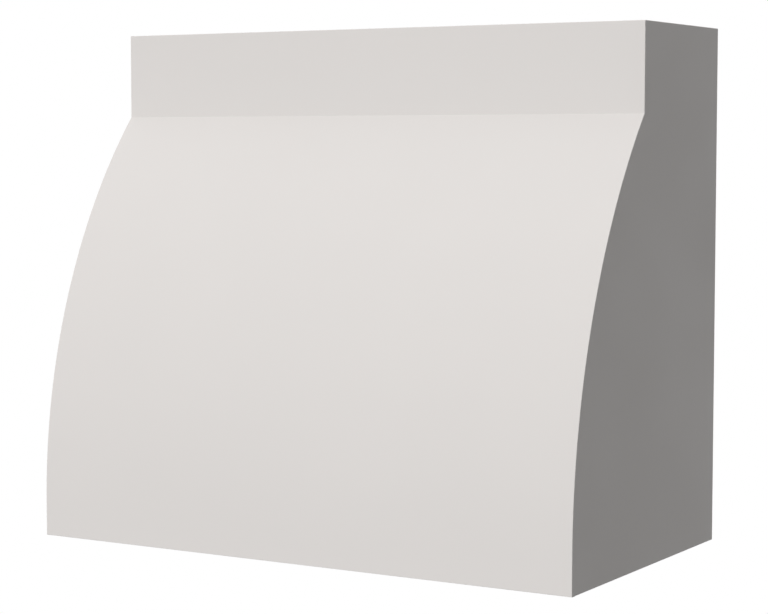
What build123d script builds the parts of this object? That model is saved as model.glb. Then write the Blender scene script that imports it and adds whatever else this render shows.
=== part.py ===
from build123d import *
import math
import os

# A curved-front wooden cover for a kitchen range hood, which hangs on the wall by a French cleat.
#
# Millimetres. X runs to the right as seen from the room, Y runs into the wall and Z is up.
# The origin is on the wall plane, at the middle of the bottom rim. A "depth" is a distance out
# from the wall, so a point at depth d has y = -d. The front is a straight band at the top, a
# curve that is one circular arc in side view, and a straight skirt at the foot that the arc
# meets smoothly.

# Driving dimensions of the outside
WIDTH = 1067
HEIGHT = 920
BAND_HEIGHT = 154
TOP_DEPTH = 317
BOTTOM_DEPTH = 581
SKIRT_HEIGHT = 60

# Sheet stock and edges
PLY = 18
BENDING_PLY = 9.5
FACING = 3.2
PAINTED_EASE = 1.0
ARRIS = 0.5

# Carcass
RIB_DEPTH = 75
RIB_ARM_HEIGHT = 70
RIB_CORNER_RADIUS = 40
RIB_CENTRES = {"outer_left": -335, "inner_left": -155, "inner_right": 155, "outer_right": 335}
DOUBLER_DEPTH = 45
TOP_RAIL_HEIGHT = 90
CREASE_RAIL_BACK = 262
CREASE_RAIL_BOTTOM = 726
CREASE_RAIL_TOP = 800
LOWER_BACK_RAIL_HEIGHT = 90
CORNER_BLOCK_LEG = 50

# French cleat
CLEAT_TIP_Z = 820
HANGING_RAIL_BOTTOM = 840
WALL_CLEAT_BOTTOM = 740
WALL_CLEAT_LENGTH = 900
CLEAT_GAP = 0.1
STUD_SPACING = 406.4
LAG_HOLE_RADIUS = 4.0
LAG_WASHER_RADIUS = 11.0
LAG_WASHER_SEAT = 5.0
WALL_SCREW_RADIUS = 2.75
WALL_SCREW_Z = 75

# Bottom panel, its cut-out for a ventilation insert, and the runners that carry the insert
LEDGER = 18
PANEL_PLAY = 1.0
CUTOUT_WIDTH = 842
CUTOUT_DEPTH = 362
CUTOUT_NEAR_DEPTH = 103
CUTOUT_CORNER_RADIUS = 10
RUNNER_HEIGHT = 50
RUNNER_NEAR_DEPTHS = {"back": 80, "front": 470}

# Screws. A pocket screw leans in from the face of a board; a flat-head screw goes straight in.
HOLE_PLAY = 0.05
SHANK_RADIUS = 2.0
TIP_LENGTH = 3.0
POCKET_ANGLE = 15
POCKET_RADIUS = 4.8
POCKET_LENGTH = 40
POCKET_SEAT = 17
POCKET_SCREW_LENGTH = 30
POCKET_HEAD_RADIUS = 4.5
POCKET_HEAD_HEIGHT = 2.4
SQUARE_DRIVE = 2.8
SQUARE_DRIVE_DEPTH = 1.8
FLAT_SCREW_LENGTH = 32
FLAT_HEAD_RADIUS = 4.2
FLAT_HEAD_HEIGHT = 2.4
FLAT_HEAD_SINK = 0.3
CROSS_WIDTH = 1.2
CROSS_LENGTH = 4.6
CROSS_DEPTH = 1.9

# Where the screws are: heights of the pocket screws, then places along X or out from the wall
HANGING_RAIL_POCKET_ZS = (865, 900)
LOWER_RAIL_POCKET_ZS = (12, 75)
FRONT_RAIL_POCKET_ZS = (12, 51)
CLEAT_SCREW_XS = (60, 245, 430)
SIDE_LEDGER_SCREW_DEPTHS = (90, 284, 478)
CROSS_LEDGER_SCREW_XS = (170, 460)
PANEL_SIDE_SCREW_DEPTHS = (187, 381)
PANEL_CROSS_SCREW_XS = (80, 380)
RUNNER_SCREW_XS = (150, 455)

# Worked out from the above
HALF_WIDTH = WIDTH / 2
INNER_HALF = HALF_WIDTH - PLY
SKIN = FACING + BENDING_PLY
CREASE_Z = HEIGHT - BAND_HEIGHT
ARC_RISE = CREASE_Z - SKIRT_HEIGHT
ARC_REACH = BOTTOM_DEPTH - TOP_DEPTH
ARC_RADIUS = (ARC_RISE**2 + ARC_REACH**2) / (2 * ARC_REACH)
ARC_CENTRE_Y = ARC_RADIUS - BOTTOM_DEPTH
BAND_BACK = TOP_DEPTH - PLY
SKIRT_BACK = BOTTOM_DEPTH - SKIN
FRONT_RAIL_BACK = SKIRT_BACK - PLY
TOP_RAIL_BACK = BAND_BACK - PLY
TOP_RAIL_BOTTOM = HEIGHT - TOP_RAIL_HEIGHT
RIB_BACK = BAND_BACK - RIB_DEPTH
CLEAT_THICKNESS = PLY
HANGING_RAIL_FRONT = CLEAT_THICKNESS + PLY
PANEL_TOP = SKIRT_HEIGHT - LEDGER
PANEL_BOTTOM = PANEL_TOP - PLY
LEDGER_MIDDLE_Z = PANEL_TOP + LEDGER / 2
FRONT_LEDGER_BACK = FRONT_RAIL_BACK - LEDGER
BACK_LEDGER_FRONT = PLY + LEDGER

# Directions
TO_WALL = (0, 1, 0)
TO_ROOM = (0, -1, 0)
UPWARD = (0, 0, 1)


# ---- side-view geometry ----


def depth_at(inset, z):
    """Depth of the arc of the front at height z, set in by inset from its painted face."""
    return math.sqrt((ARC_RADIUS - inset) ** 2 - (z - SKIRT_HEIGHT) ** 2) - ARC_CENTRE_Y


def arc_height(inset, depth):
    """Height at which the arc of the front, set in by inset, has a given depth."""
    return SKIRT_HEIGHT + math.sqrt((ARC_RADIUS - inset) ** 2 - (depth + ARC_CENTRE_Y) ** 2)


def front_arc(inset, z_from, z_to):
    """The arc of the curved front between two heights, set in by inset, in the (y, z) plane."""
    radius = ARC_RADIUS - inset
    start = 180 - math.degrees(math.asin((z_from - SKIRT_HEIGHT) / radius))
    end = 180 - math.degrees(math.asin((z_to - SKIRT_HEIGHT) / radius))
    return CenterArc((ARC_CENTRE_Y, SKIRT_HEIGHT), radius, start, end - start)


def straight(*depths_and_heights):
    """Straight lines through (depth, height) points, in the (y, z) plane."""
    return Polyline(*[(-depth, z) for depth, z in depths_and_heights])


def outline(*lines):
    """A flat face in the (y, z) plane, bounded by the lines given in order."""
    return make_face([edge for line in lines for edge in line.edges()])


# ---- boards ----


def slab(face, x_low, x_high):
    """A side-view outline given thickness along X."""
    return extrude(Plane.YZ.offset(x_low) * face, x_high - x_low)


def eased_slab(face, x_low, x_high):
    """A slab whose two sawn faces have their arrises knocked off."""
    board = slab(face, x_low, x_high)
    rims = [edges_at(board, Axis.X, x) for x in (x_low, x_high)]
    return chamfer([edge for rim in rims for edge in rim], ARRIS)


def board(x_range, depth_range, z_range):
    """A square-cut board, with its arrises knocked off, but for those against the wall."""
    (x0, x1), (d0, d1), (z0, z1) = x_range, depth_range, z_range
    block = Pos(x0, -d1, z0) * Box(x1 - x0, d1 - d0, z1 - z0, align=(Align.MIN, Align.MIN, Align.MIN))
    return chamfer([edge for edge in block.edges() if edge.center().Y < 0], ARRIS)


def edges_at(shape, axis, position):
    """The shape's edges whose middle lies at a position along an axis."""
    return shape.edges().filter_by_position(axis, position - ARRIS / 10, position + ARRIS / 10)


def hole(entry, direction, radius, depth):
    """The cylinder that a drill cuts from an entry point."""
    return extrude(Plane(entry, z_dir=direction) * Circle(radius), depth)


# ---- painted shell ----


def side_panel():
    """The right side: flat, with its front edge cut to the curve behind the skins."""
    face = outline(
        straight((BAND_BACK, CREASE_Z), (BAND_BACK, HEIGHT), (0, HEIGHT), (0, 0), (SKIRT_BACK, 0),
                 (SKIRT_BACK, SKIRT_HEIGHT)),
        front_arc(SKIN, SKIRT_HEIGHT, CREASE_Z),
        straight((depth_at(SKIN, CREASE_Z), CREASE_Z), (BAND_BACK, CREASE_Z)),
    )
    panel = slab(face, INNER_HALF, HALF_WIDTH)
    outer_rim = edges_at(panel, Axis.X, HALF_WIDTH)
    eased = [edge for axis, position in ((Axis.Z, 0), (Axis.Z, HEIGHT), (Axis.Y, 0))
             for edge in outer_rim.filter_by_position(axis, position, position)]
    return fillet(eased, PAINTED_EASE)


def front_band():
    """The straight board across the top of the front, eased along its front corners and its top."""
    block = Box(WIDTH, PLY, BAND_HEIGHT, align=(Align.CENTER, Align.MIN, Align.MIN))
    band = Pos(0, -TOP_DEPTH, CREASE_Z) * block
    corners = edges_at(band, Axis.Y, -TOP_DEPTH).filter_by(Axis.Z)
    top = edges_at(band, Axis.Z, HEIGHT).filter_by_position(Axis.Y, -TOP_DEPTH, -BAND_BACK - ARRIS)
    return fillet(corners + top, PAINTED_EASE)


def curved_sheet(inset, thickness):
    """A sheet bent round the front, its painted-side face set in by inset and its ends cut level."""
    outer, inner = inset, inset + thickness
    face = outline(
        straight((BOTTOM_DEPTH - inner, SKIRT_HEIGHT), (BOTTOM_DEPTH - inner, 0),
                 (BOTTOM_DEPTH - outer, 0), (BOTTOM_DEPTH - outer, SKIRT_HEIGHT)),
        front_arc(outer, SKIRT_HEIGHT, CREASE_Z),
        straight((depth_at(outer, CREASE_Z), CREASE_Z), (depth_at(inner, CREASE_Z), CREASE_Z)),
        front_arc(inner, CREASE_Z, SKIRT_HEIGHT),
    )
    return slab(face, -HALF_WIDTH, HALF_WIDTH)


def curved_facing():
    """The painted outer sheet, eased along its sides and its bottom edge."""
    sheet = curved_sheet(0, FACING)
    sides = edges_at(sheet, Axis.X, -HALF_WIDTH) + edges_at(sheet, Axis.X, HALF_WIDTH)
    arcs = [edge for edge in sides.filter_by(GeomType.CIRCLE) if edge.radius > ARC_RADIUS - FACING / 2]
    uprights = sides.filter_by_position(Axis.Y, -BOTTOM_DEPTH, -BOTTOM_DEPTH)
    foot = edges_at(sheet, Axis.Z, 0).filter_by_position(Axis.Y, -BOTTOM_DEPTH, -BOTTOM_DEPTH)
    return fillet([*arcs, *uprights, *foot], PAINTED_EASE)


# ---- carcass behind the shell ----


def rib(x_centre):
    """A former that backs the curve, notched round the rails, with an arm to the hanging rail."""
    arm_bottom = HEIGHT - RIB_ARM_HEIGHT
    bend_z = arc_height(SKIN + RIB_DEPTH, RIB_BACK)
    face = outline(
        straight((SKIRT_BACK - RIB_DEPTH, SKIRT_HEIGHT), (SKIRT_BACK, SKIRT_HEIGHT)),
        front_arc(SKIN, SKIRT_HEIGHT, CREASE_RAIL_BOTTOM),
        straight((depth_at(SKIN, CREASE_RAIL_BOTTOM), CREASE_RAIL_BOTTOM),
                 (CREASE_RAIL_BACK, CREASE_RAIL_BOTTOM), (CREASE_RAIL_BACK, CREASE_RAIL_TOP),
                 (BAND_BACK, CREASE_RAIL_TOP), (BAND_BACK, TOP_RAIL_BOTTOM),
                 (TOP_RAIL_BACK, TOP_RAIL_BOTTOM), (TOP_RAIL_BACK, HEIGHT),
                 (HANGING_RAIL_FRONT, HEIGHT), (HANGING_RAIL_FRONT, arm_bottom),
                 (RIB_BACK, arm_bottom), (RIB_BACK, bend_z)),
        front_arc(SKIN + RIB_DEPTH, bend_z, SKIRT_HEIGHT),
    )
    armpit = face.vertices().sort_by_distance((-RIB_BACK, arm_bottom, 0))[0]
    return eased_slab(fillet(armpit, RIB_CORNER_RADIUS), x_centre - PLY / 2, x_centre + PLY / 2)


def side_doubler():
    """A curved strip on the right side panel's inner face, which widens the skins' glue line."""
    inner = SKIN + DOUBLER_DEPTH
    face = outline(
        straight((BOTTOM_DEPTH - inner, SKIRT_HEIGHT), (SKIRT_BACK, SKIRT_HEIGHT)),
        front_arc(SKIN, SKIRT_HEIGHT, CREASE_RAIL_BOTTOM),
        straight((depth_at(SKIN, CREASE_RAIL_BOTTOM), CREASE_RAIL_BOTTOM),
                 (depth_at(inner, CREASE_RAIL_BOTTOM), CREASE_RAIL_BOTTOM)),
        front_arc(inner, CREASE_RAIL_BOTTOM, SKIRT_HEIGHT),
    )
    return eased_slab(face, INNER_HALF - PLY, INNER_HALF)


def crease_rail():
    """The rail behind the crease, shaped to back the foot of the band and the head of the skins."""
    face = outline(
        straight((BAND_BACK, CREASE_Z), (BAND_BACK, CREASE_RAIL_TOP),
                 (CREASE_RAIL_BACK, CREASE_RAIL_TOP), (CREASE_RAIL_BACK, CREASE_RAIL_BOTTOM),
                 (depth_at(SKIN, CREASE_RAIL_BOTTOM), CREASE_RAIL_BOTTOM)),
        front_arc(SKIN, CREASE_RAIL_BOTTOM, CREASE_Z),
        straight((depth_at(SKIN, CREASE_Z), CREASE_Z), (BAND_BACK, CREASE_Z)),
    )
    return slab(face, -INNER_HALF, INNER_HALF)


def across(depth_range, z_range):
    """A board that spans between the side panels."""
    return board((-INNER_HALF, INNER_HALF), depth_range, z_range)


def lower_back_rail():
    """The rail across the foot of the back, with holes for two screws into the wall."""
    rail = across((0, PLY), (0, LOWER_BACK_RAIL_HEIGHT))
    for x in (-STUD_SPACING, STUD_SPACING):
        rail -= hole((x, -PLY, WALL_SCREW_Z), TO_WALL, WALL_SCREW_RADIUS, PLY)
    return rail


def corner_block():
    """A three-cornered glue block between the right side panel and the top front rail."""
    corner = (INNER_HALF, -TOP_RAIL_BACK)
    face = make_face(Polyline(corner, (corner[0] - CORNER_BLOCK_LEG, corner[1]),
                              (corner[0], corner[1] + CORNER_BLOCK_LEG), close=True))
    return extrude(Pos(0, 0, TOP_RAIL_BOTTOM) * face, TOP_RAIL_HEIGHT)


# ---- French cleat ----


def hood_cleat():
    """The hooked half: its lower edge is bevelled at 45 degrees, lowest at the wall."""
    face = outline(straight((0, CLEAT_TIP_Z), (CLEAT_THICKNESS, CLEAT_TIP_Z + CLEAT_THICKNESS),
                            (CLEAT_THICKNESS, HEIGHT), (0, HEIGHT), (0, CLEAT_TIP_Z)))
    return slab(face, -INNER_HALF, INNER_HALF)


def wall_cleat():
    """The half that is screwed to the wall studs, with counterbored holes for lag screws."""
    tip = CLEAT_TIP_Z - CLEAT_GAP * math.sqrt(2)
    face = outline(straight((0, WALL_CLEAT_BOTTOM), (CLEAT_THICKNESS, WALL_CLEAT_BOTTOM),
                            (CLEAT_THICKNESS, tip + CLEAT_THICKNESS), (0, tip), (0, WALL_CLEAT_BOTTOM)))
    cleat = slab(face, -WALL_CLEAT_LENGTH / 2, WALL_CLEAT_LENGTH / 2)
    hole_z = (WALL_CLEAT_BOTTOM + CLEAT_TIP_Z) / 2
    for x in (-STUD_SPACING, 0, STUD_SPACING):
        entry = (x, -CLEAT_THICKNESS, hole_z)
        cleat -= hole(entry, TO_WALL, LAG_HOLE_RADIUS, CLEAT_THICKNESS)
        cleat -= hole(entry, TO_WALL, LAG_WASHER_RADIUS, LAG_WASHER_SEAT)
    return cleat


# ---- bottom of the cover ----


def bottom_panel():
    """The loose panel under the ledgers, with the cut-out for the insert."""
    half = INNER_HALF - PANEL_PLAY
    near, far = PLY + PANEL_PLAY, FRONT_RAIL_BACK - PANEL_PLAY
    panel = board((-half, half), (near, far), (PANEL_BOTTOM, PANEL_TOP))
    middle = CUTOUT_NEAR_DEPTH + CUTOUT_DEPTH / 2
    opening = RectangleRounded(CUTOUT_WIDTH, CUTOUT_DEPTH, CUTOUT_CORNER_RADIUS)
    return panel - extrude(Pos(0, -middle, PANEL_BOTTOM) * opening, PLY)


def side_ledger():
    """The ledger along the right side, between the ledgers at the front and the back."""
    return board((INNER_HALF - LEDGER, INNER_HALF), (BACK_LEDGER_FRONT, FRONT_LEDGER_BACK),
                 (PANEL_TOP, SKIRT_HEIGHT))


def insert_runner(near_depth):
    """A rail on edge on top of the bottom panel, which the insert is screwed to."""
    half = INNER_HALF - LEDGER - PANEL_PLAY
    return board((-half, half), (near_depth, near_depth + PLY), (PANEL_TOP, PANEL_TOP + RUNNER_HEIGHT))


# ---- screws and the holes they need ----


def turned(plane, *radii_and_heights):
    """A solid of revolution about the plane's Z axis, from (radius, height) points."""
    return plane * revolve(Plane.XZ * make_face(Polyline(*radii_and_heights, close=True)), Axis.Z)


def pocket_seat(end_point, outward, inward):
    """The plane under a pocket screw's head. The screw leaves the board's end at end_point, going
    outward, and leans inward from the face that holds the pocket."""
    lean = math.radians(POCKET_ANGLE)
    along = Vector(*outward) * math.cos(lean) + Vector(*inward) * math.sin(lean)
    return Plane(Vector(*end_point) - along * POCKET_SEAT, z_dir=along)


def pocket_bore(seat):
    """The stepped bore of a pocket screw: a wide pocket back to the face, then the shank's hole."""
    shank = SHANK_RADIUS + HOLE_PLAY
    end = POCKET_SCREW_LENGTH
    return turned(seat, (0, -POCKET_LENGTH), (POCKET_RADIUS, -POCKET_LENGTH), (POCKET_RADIUS, 0),
                  (shank, 0), (shank, end), (0, end + HOLE_PLAY))


def pocket_screw(seat):
    """A washer-head screw with a square recess."""
    body = turned(seat, (0, -POCKET_HEAD_HEIGHT), (SHANK_RADIUS, -POCKET_HEAD_HEIGHT),
                  (POCKET_HEAD_RADIUS, -POCKET_HEAD_HEIGHT / 3), (POCKET_HEAD_RADIUS, 0),
                  (SHANK_RADIUS, 0), (SHANK_RADIUS, POCKET_SCREW_LENGTH - TIP_LENGTH),
                  (0, POCKET_SCREW_LENGTH))
    square = Box(SQUARE_DRIVE, SQUARE_DRIVE, SQUARE_DRIVE_DEPTH,
                 align=(Align.CENTER, Align.CENTER, Align.MIN))
    return body - seat * Pos(0, 0, -POCKET_HEAD_HEIGHT) * square


def flat_seat(entry, direction):
    """The plane where a flat-head screw goes into a face."""
    return Plane(Vector(*entry), z_dir=Vector(*direction))


def flat_bore(seat):
    """The countersunk hole of a flat-head screw."""
    head, shank = FLAT_HEAD_RADIUS + HOLE_PLAY, SHANK_RADIUS + HOLE_PLAY
    neck, end = FLAT_HEAD_SINK + FLAT_HEAD_HEIGHT, FLAT_HEAD_SINK + FLAT_SCREW_LENGTH
    return turned(seat, (0, 0), (head, 0), (head, FLAT_HEAD_SINK), (shank, neck), (shank, end),
                  (0, end + HOLE_PLAY))


def flat_screw(seat):
    """A flat-head screw with a cross recess, driven just below the surface."""
    top, neck = FLAT_HEAD_SINK, FLAT_HEAD_SINK + FLAT_HEAD_HEIGHT
    end = top + FLAT_SCREW_LENGTH
    body = turned(seat, (0, top), (FLAT_HEAD_RADIUS, top), (SHANK_RADIUS, neck),
                  (SHANK_RADIUS, end - TIP_LENGTH), (0, end))
    bar = Box(CROSS_LENGTH, CROSS_WIDTH, CROSS_DEPTH, align=(Align.CENTER, Align.CENTER, Align.MIN))
    return body - seat * Pos(0, 0, top) * (bar + Rot(0, 0, 90) * bar)


# ---- where the screws go ----


def both_sides(*points):
    """The given points and their mirror images to the left."""
    return [(sign * x, y, z) for x, y, z in points for sign in (1, -1)]


def rail_pocket_seats(middle_depth, lean, heights):
    """Pocket screws through both ends of a rail, into the side panels."""
    return [pocket_seat((side * INNER_HALF, -middle_depth, z), (side, 0, 0), lean)
            for z in heights for side in (1, -1)]


def rib_arm_seat(x_centre):
    """The pocket screw through a rib's arm, into the hanging rail."""
    end_point = (x_centre, -HANGING_RAIL_FRONT, HEIGHT - RIB_ARM_HEIGHT / 2)
    return pocket_seat(end_point, TO_WALL, (-math.copysign(1, x_centre), 0, 0))


def pocket_seats():
    """Every pocket screw."""
    return [
        *rail_pocket_seats(CLEAT_THICKNESS + PLY / 2, TO_WALL, HANGING_RAIL_POCKET_ZS),
        *rail_pocket_seats(PLY / 2, TO_WALL, LOWER_RAIL_POCKET_ZS),
        *rail_pocket_seats(FRONT_RAIL_BACK + PLY / 2, TO_ROOM, FRONT_RAIL_POCKET_ZS),
        *[rib_arm_seat(x) for x in RIB_CENTRES.values()],
    ]


def cleat_seats():
    """Flat-head screws through the hanging rail into the cleat behind it."""
    z = (CLEAT_TIP_Z + CLEAT_THICKNESS + HEIGHT) / 2
    points = both_sides(*[(x, -HANGING_RAIL_FRONT, z) for x in CLEAT_SCREW_XS])
    return [flat_seat(point, TO_WALL) for point in points]


def ledger_seats():
    """Flat-head screws that hold the four ledgers, through their inner faces."""
    at_sides = [flat_seat((side * (INNER_HALF - LEDGER), -depth, LEDGER_MIDDLE_Z), (side, 0, 0))
                for depth in SIDE_LEDGER_SCREW_DEPTHS for side in (1, -1)]
    at_back = both_sides(*[(x, -BACK_LEDGER_FRONT, LEDGER_MIDDLE_Z) for x in CROSS_LEDGER_SCREW_XS])
    at_front = both_sides(*[(x, -FRONT_LEDGER_BACK, LEDGER_MIDDLE_Z) for x in CROSS_LEDGER_SCREW_XS])
    return [*at_sides, *[flat_seat(point, TO_WALL) for point in at_back],
            *[flat_seat(point, TO_ROOM) for point in at_front]]


def panel_seats():
    """Flat-head screws up through the bottom panel into the middles of the ledgers."""
    side_points = [(INNER_HALF - LEDGER / 2, -depth, PANEL_BOTTOM) for depth in PANEL_SIDE_SCREW_DEPTHS]
    cross_points = [(x, -depth, PANEL_BOTTOM) for x in PANEL_CROSS_SCREW_XS
                    for depth in (PLY + LEDGER / 2, FRONT_RAIL_BACK - LEDGER / 2)]
    return [flat_seat(point, UPWARD) for point in both_sides(*side_points, *cross_points)]


def runner_seats():
    """Flat-head screws up through the bottom panel into the runners."""
    points = [(x, -near - PLY / 2, PANEL_BOTTOM) for x in RUNNER_SCREW_XS
              for near in RUNNER_NEAR_DEPTHS.values()]
    return [flat_seat(point, UPWARD) for point in both_sides(*points)]


# ---- assembly ----


def wooden_parts():
    """Every board, by name, before it is drilled."""
    parts = {
        "front_band": front_band(),
        "curved_facing": curved_facing(),
        "curved_backing": curved_sheet(FACING, BENDING_PLY),
        "crease_rail": crease_rail(),
        "top_front_rail": across((TOP_RAIL_BACK, BAND_BACK), (TOP_RAIL_BOTTOM, HEIGHT)),
        "bottom_front_rail": across((FRONT_RAIL_BACK, SKIRT_BACK), (0, SKIRT_HEIGHT)),
        "hanging_rail": across((CLEAT_THICKNESS, HANGING_RAIL_FRONT), (HANGING_RAIL_BOTTOM, HEIGHT)),
        "lower_back_rail": lower_back_rail(),
        "hood_cleat": hood_cleat(),
        "wall_cleat": wall_cleat(),
        "bottom_panel": bottom_panel(),
        "ledger_front": across((FRONT_LEDGER_BACK, FRONT_RAIL_BACK), (PANEL_TOP, SKIRT_HEIGHT)),
        "ledger_back": across((PLY, BACK_LEDGER_FRONT), (PANEL_TOP, SKIRT_HEIGHT)),
    }
    drawn_on_the_right = {
        "side_panel": side_panel(),
        "side_doubler": side_doubler(),
        "corner_block": corner_block(),
        "ledger": side_ledger(),
    }
    for name, shape in drawn_on_the_right.items():
        parts[f"{name}_left"] = mirror(shape, about=Plane.YZ)
        parts[f"{name}_right"] = shape
    for name, x_centre in RIB_CENTRES.items():
        parts[f"rib_{name}"] = rib(x_centre)
    for name, near_depth in RUNNER_NEAR_DEPTHS.items():
        parts[f"insert_runner_{name}"] = insert_runner(near_depth)
    return parts


def fasten(parts, group, seats, bore, screw, drilled):
    """Drills the named boards at every seat, and adds the group of screws that goes there."""
    bores = [bore(seat) for seat in seats]
    for name in drilled:
        parts[name] = parts[name] - bores
    parts[group] = Compound(children=[screw(seat) for seat in seats])


def add_screws(parts):
    """One group of screws for each kind of joint."""
    sides = ["side_panel_left", "side_panel_right"]
    ribs = [f"rib_{name}" for name in RIB_CENTRES]
    ledgers = ["ledger_left", "ledger_right", "ledger_front", "ledger_back"]
    runners = [f"insert_runner_{name}" for name in RUNNER_NEAR_DEPTHS]
    low_rails = ["lower_back_rail", "bottom_front_rail"]
    fasten(parts, "pocket_screws", pocket_seats(), pocket_bore, pocket_screw,
           [*sides, *ribs, *low_rails, "hanging_rail"])
    fasten(parts, "cleat_screws", cleat_seats(), flat_bore, flat_screw, ["hanging_rail", "hood_cleat"])
    fasten(parts, "ledger_screws", ledger_seats(), flat_bore, flat_screw, [*ledgers, *sides, *low_rails])
    fasten(parts, "bottom_panel_screws", panel_seats(), flat_bore, flat_screw, ["bottom_panel", *ledgers])
    fasten(parts, "insert_runner_screws", runner_seats(), flat_bore, flat_screw,
           ["bottom_panel", *runners])


def main():
    parts = wooden_parts()
    add_screws(parts)
    os.makedirs("parts", exist_ok=True)
    for name, shape in parts.items():
        export_step(shape, f"parts/{name}.step")


main()
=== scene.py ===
"""A curved-front wooden cover for a kitchen range hood, dressed and lit for a studio picture.

Metres. X runs to the right as seen from the room, Y runs into the wall and Z is up. The origin
is on the wall plane, at the middle of the bottom rim. A "depth" is a distance out from the wall,
so a point at depth d has y = -d. An "inset" is a distance in from the painted front, square to it.
"""

import logging
import math
import zlib
from dataclasses import astuple, dataclass
from enum import Enum, IntEnum
from functools import partial, reduce
from typing import Mapping, Optional, Sequence, Union

import bpy
import numpy as np
from mathutils import Euler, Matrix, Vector


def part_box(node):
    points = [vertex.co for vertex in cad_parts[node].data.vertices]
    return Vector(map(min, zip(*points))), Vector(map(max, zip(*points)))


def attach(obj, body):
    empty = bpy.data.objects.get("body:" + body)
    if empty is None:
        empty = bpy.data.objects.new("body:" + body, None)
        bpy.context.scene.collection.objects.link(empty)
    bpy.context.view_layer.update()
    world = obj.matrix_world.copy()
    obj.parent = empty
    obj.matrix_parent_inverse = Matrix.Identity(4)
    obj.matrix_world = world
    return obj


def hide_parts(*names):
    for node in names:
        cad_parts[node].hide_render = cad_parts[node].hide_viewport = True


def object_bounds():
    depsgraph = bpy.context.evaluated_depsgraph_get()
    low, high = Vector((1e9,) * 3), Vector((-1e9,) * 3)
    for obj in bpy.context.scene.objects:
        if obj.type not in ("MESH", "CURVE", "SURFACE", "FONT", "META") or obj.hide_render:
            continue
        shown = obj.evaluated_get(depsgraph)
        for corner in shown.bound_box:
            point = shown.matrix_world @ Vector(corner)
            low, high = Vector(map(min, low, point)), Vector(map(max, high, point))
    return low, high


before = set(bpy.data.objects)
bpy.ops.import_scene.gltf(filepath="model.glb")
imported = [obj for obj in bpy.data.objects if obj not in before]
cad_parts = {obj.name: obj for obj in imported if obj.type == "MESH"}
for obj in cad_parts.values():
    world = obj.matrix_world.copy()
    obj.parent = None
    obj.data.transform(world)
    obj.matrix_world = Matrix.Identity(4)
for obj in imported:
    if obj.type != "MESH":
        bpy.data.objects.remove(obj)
CAD_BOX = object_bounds()

log = logging.getLogger("hood_cover")

MM = 0.001

Level = Union[float, np.ndarray]
Triple = tuple[float, float, float]


class Axis(IntEnum):
    """An axis of the frame."""

    X = 0
    Y = 1
    Z = 2


class Body(Enum):
    """What a piece moves with."""

    WALL_MOUNT = "wall_mount"
    COVER = "cover"


class Slot(Enum):
    """The record's finishes."""

    PAINTED_WOOD = "painted_wood"
    PAINTED_PANEL = "painted_panel"
    BENDING_PLYWOOD = "bending_plywood"
    BIRCH_PLYWOOD = "birch_plywood"
    SOLID_POPLAR = "solid_poplar"
    ZINC_SCREWS = "zinc_screws"


class Side(Enum):
    """A side of the cover, as seen from the room."""

    LEFT = "left"
    RIGHT = "right"


# ---- sizes ----


@dataclass(frozen=True)
class CoverSizes:
    """The cover's main sizes, read from the frame.

    Attributes:
        half_width: from the middle to the outer face of a side panel.
        inner_half: from the middle to the inner face of a side panel.
        height: of the whole cover.
        crease_z: height of the crease under the band.
        skirt_z: height where the arc of the front meets the straight skirt.
        top_depth: depth of the band's painted face.
        band_back: depth of the band's back.
        bottom_depth: depth of the skirt's painted face.
        facing: thickness of the painted sheet.
        skin: thickness of the painted sheet and its backing together.
        rail_back: depth of the crease rail's back.
        rail_low: height of the crease rail's underside.
        rail_high: height of the crease rail's top.
        rim_z: height of the recessed bottom panel's underside.
    """

    half_width: float
    inner_half: float
    height: float
    crease_z: float
    skirt_z: float
    top_depth: float
    band_back: float
    bottom_depth: float
    facing: float
    skin: float
    rail_back: float
    rail_low: float
    rail_high: float
    rim_z: float

    @classmethod
    def from_frame(cls) -> "CoverSizes":
        """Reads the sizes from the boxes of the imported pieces.

        Returns:
            The sizes, in metres.
        """
        band_low, band_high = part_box("front_band")
        side_low, side_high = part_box("side_panel_right")
        rail_low, rail_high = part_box("crease_rail")
        skirt = -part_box("curved_facing")[0].y
        return cls(
            half_width=side_high.x,
            inner_half=side_low.x,
            height=band_high.z,
            crease_z=band_low.z,
            skirt_z=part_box("bottom_front_rail")[1].z,
            top_depth=-band_low.y,
            band_back=-band_high.y,
            bottom_depth=skirt,
            facing=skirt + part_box("curved_backing")[0].y,
            skin=skirt + side_low.y,
            rail_back=-rail_high.y,
            rail_low=rail_low.z,
            rail_high=rail_high.z,
            rim_z=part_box("bottom_panel")[0].z,
        )

    @property
    def arc_radius(self) -> float:
        """Radius of the arc that leaves the skirt upright and passes through the crease.

        With rise h and reach d from the skirt to the crease, it is (h * h + d * d) / (2 * d).

        Returns:
            The radius, in metres.
        """
        rise = self.crease_z - self.skirt_z
        reach = self.bottom_depth - self.top_depth
        return (rise**2 + reach**2) / (2 * reach)

    def front_depth(self, inset: float, heights: np.ndarray) -> np.ndarray:
        """Depth of the front: a circular arc above the skirt, and straight down from there.

        Args:
            inset: how far in from the painted face, square to it.
            heights: the heights to work out.
        Returns:
            One depth for each height.
        """
        rise = np.clip(heights - self.skirt_z, 0, None)
        centre = self.arc_radius - self.bottom_depth
        return np.sqrt((self.arc_radius - inset) ** 2 - rise**2) - centre

    def behind_skins(self, heights: np.ndarray) -> np.ndarray:
        """Depth of what stands right behind the skins: the front's arc up to the crease, drawn in
        by the skins' thickness, and the back of the band above it.

        Args:
            heights: the heights to work out.
        Returns:
            One depth for each height.
        """
        arc = self.front_depth(self.skin, np.minimum(heights, self.crease_z))
        return np.where(heights > self.crease_z, self.band_back, arc)


# ---- surfaces ----

# Radii of bare edges, and of edges that are eased before painting
ARRIS = 0.25 * MM
EASING = 1.0 * MM

# Steps between points: beside a rounding, over the crease, up a face, and in a quarter turn
SUPPORT = 0.3 * MM
CREASE_STEP = 0.05 * MM
ROW_STEP = 8 * MM
TURN_STEPS = 8

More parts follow.
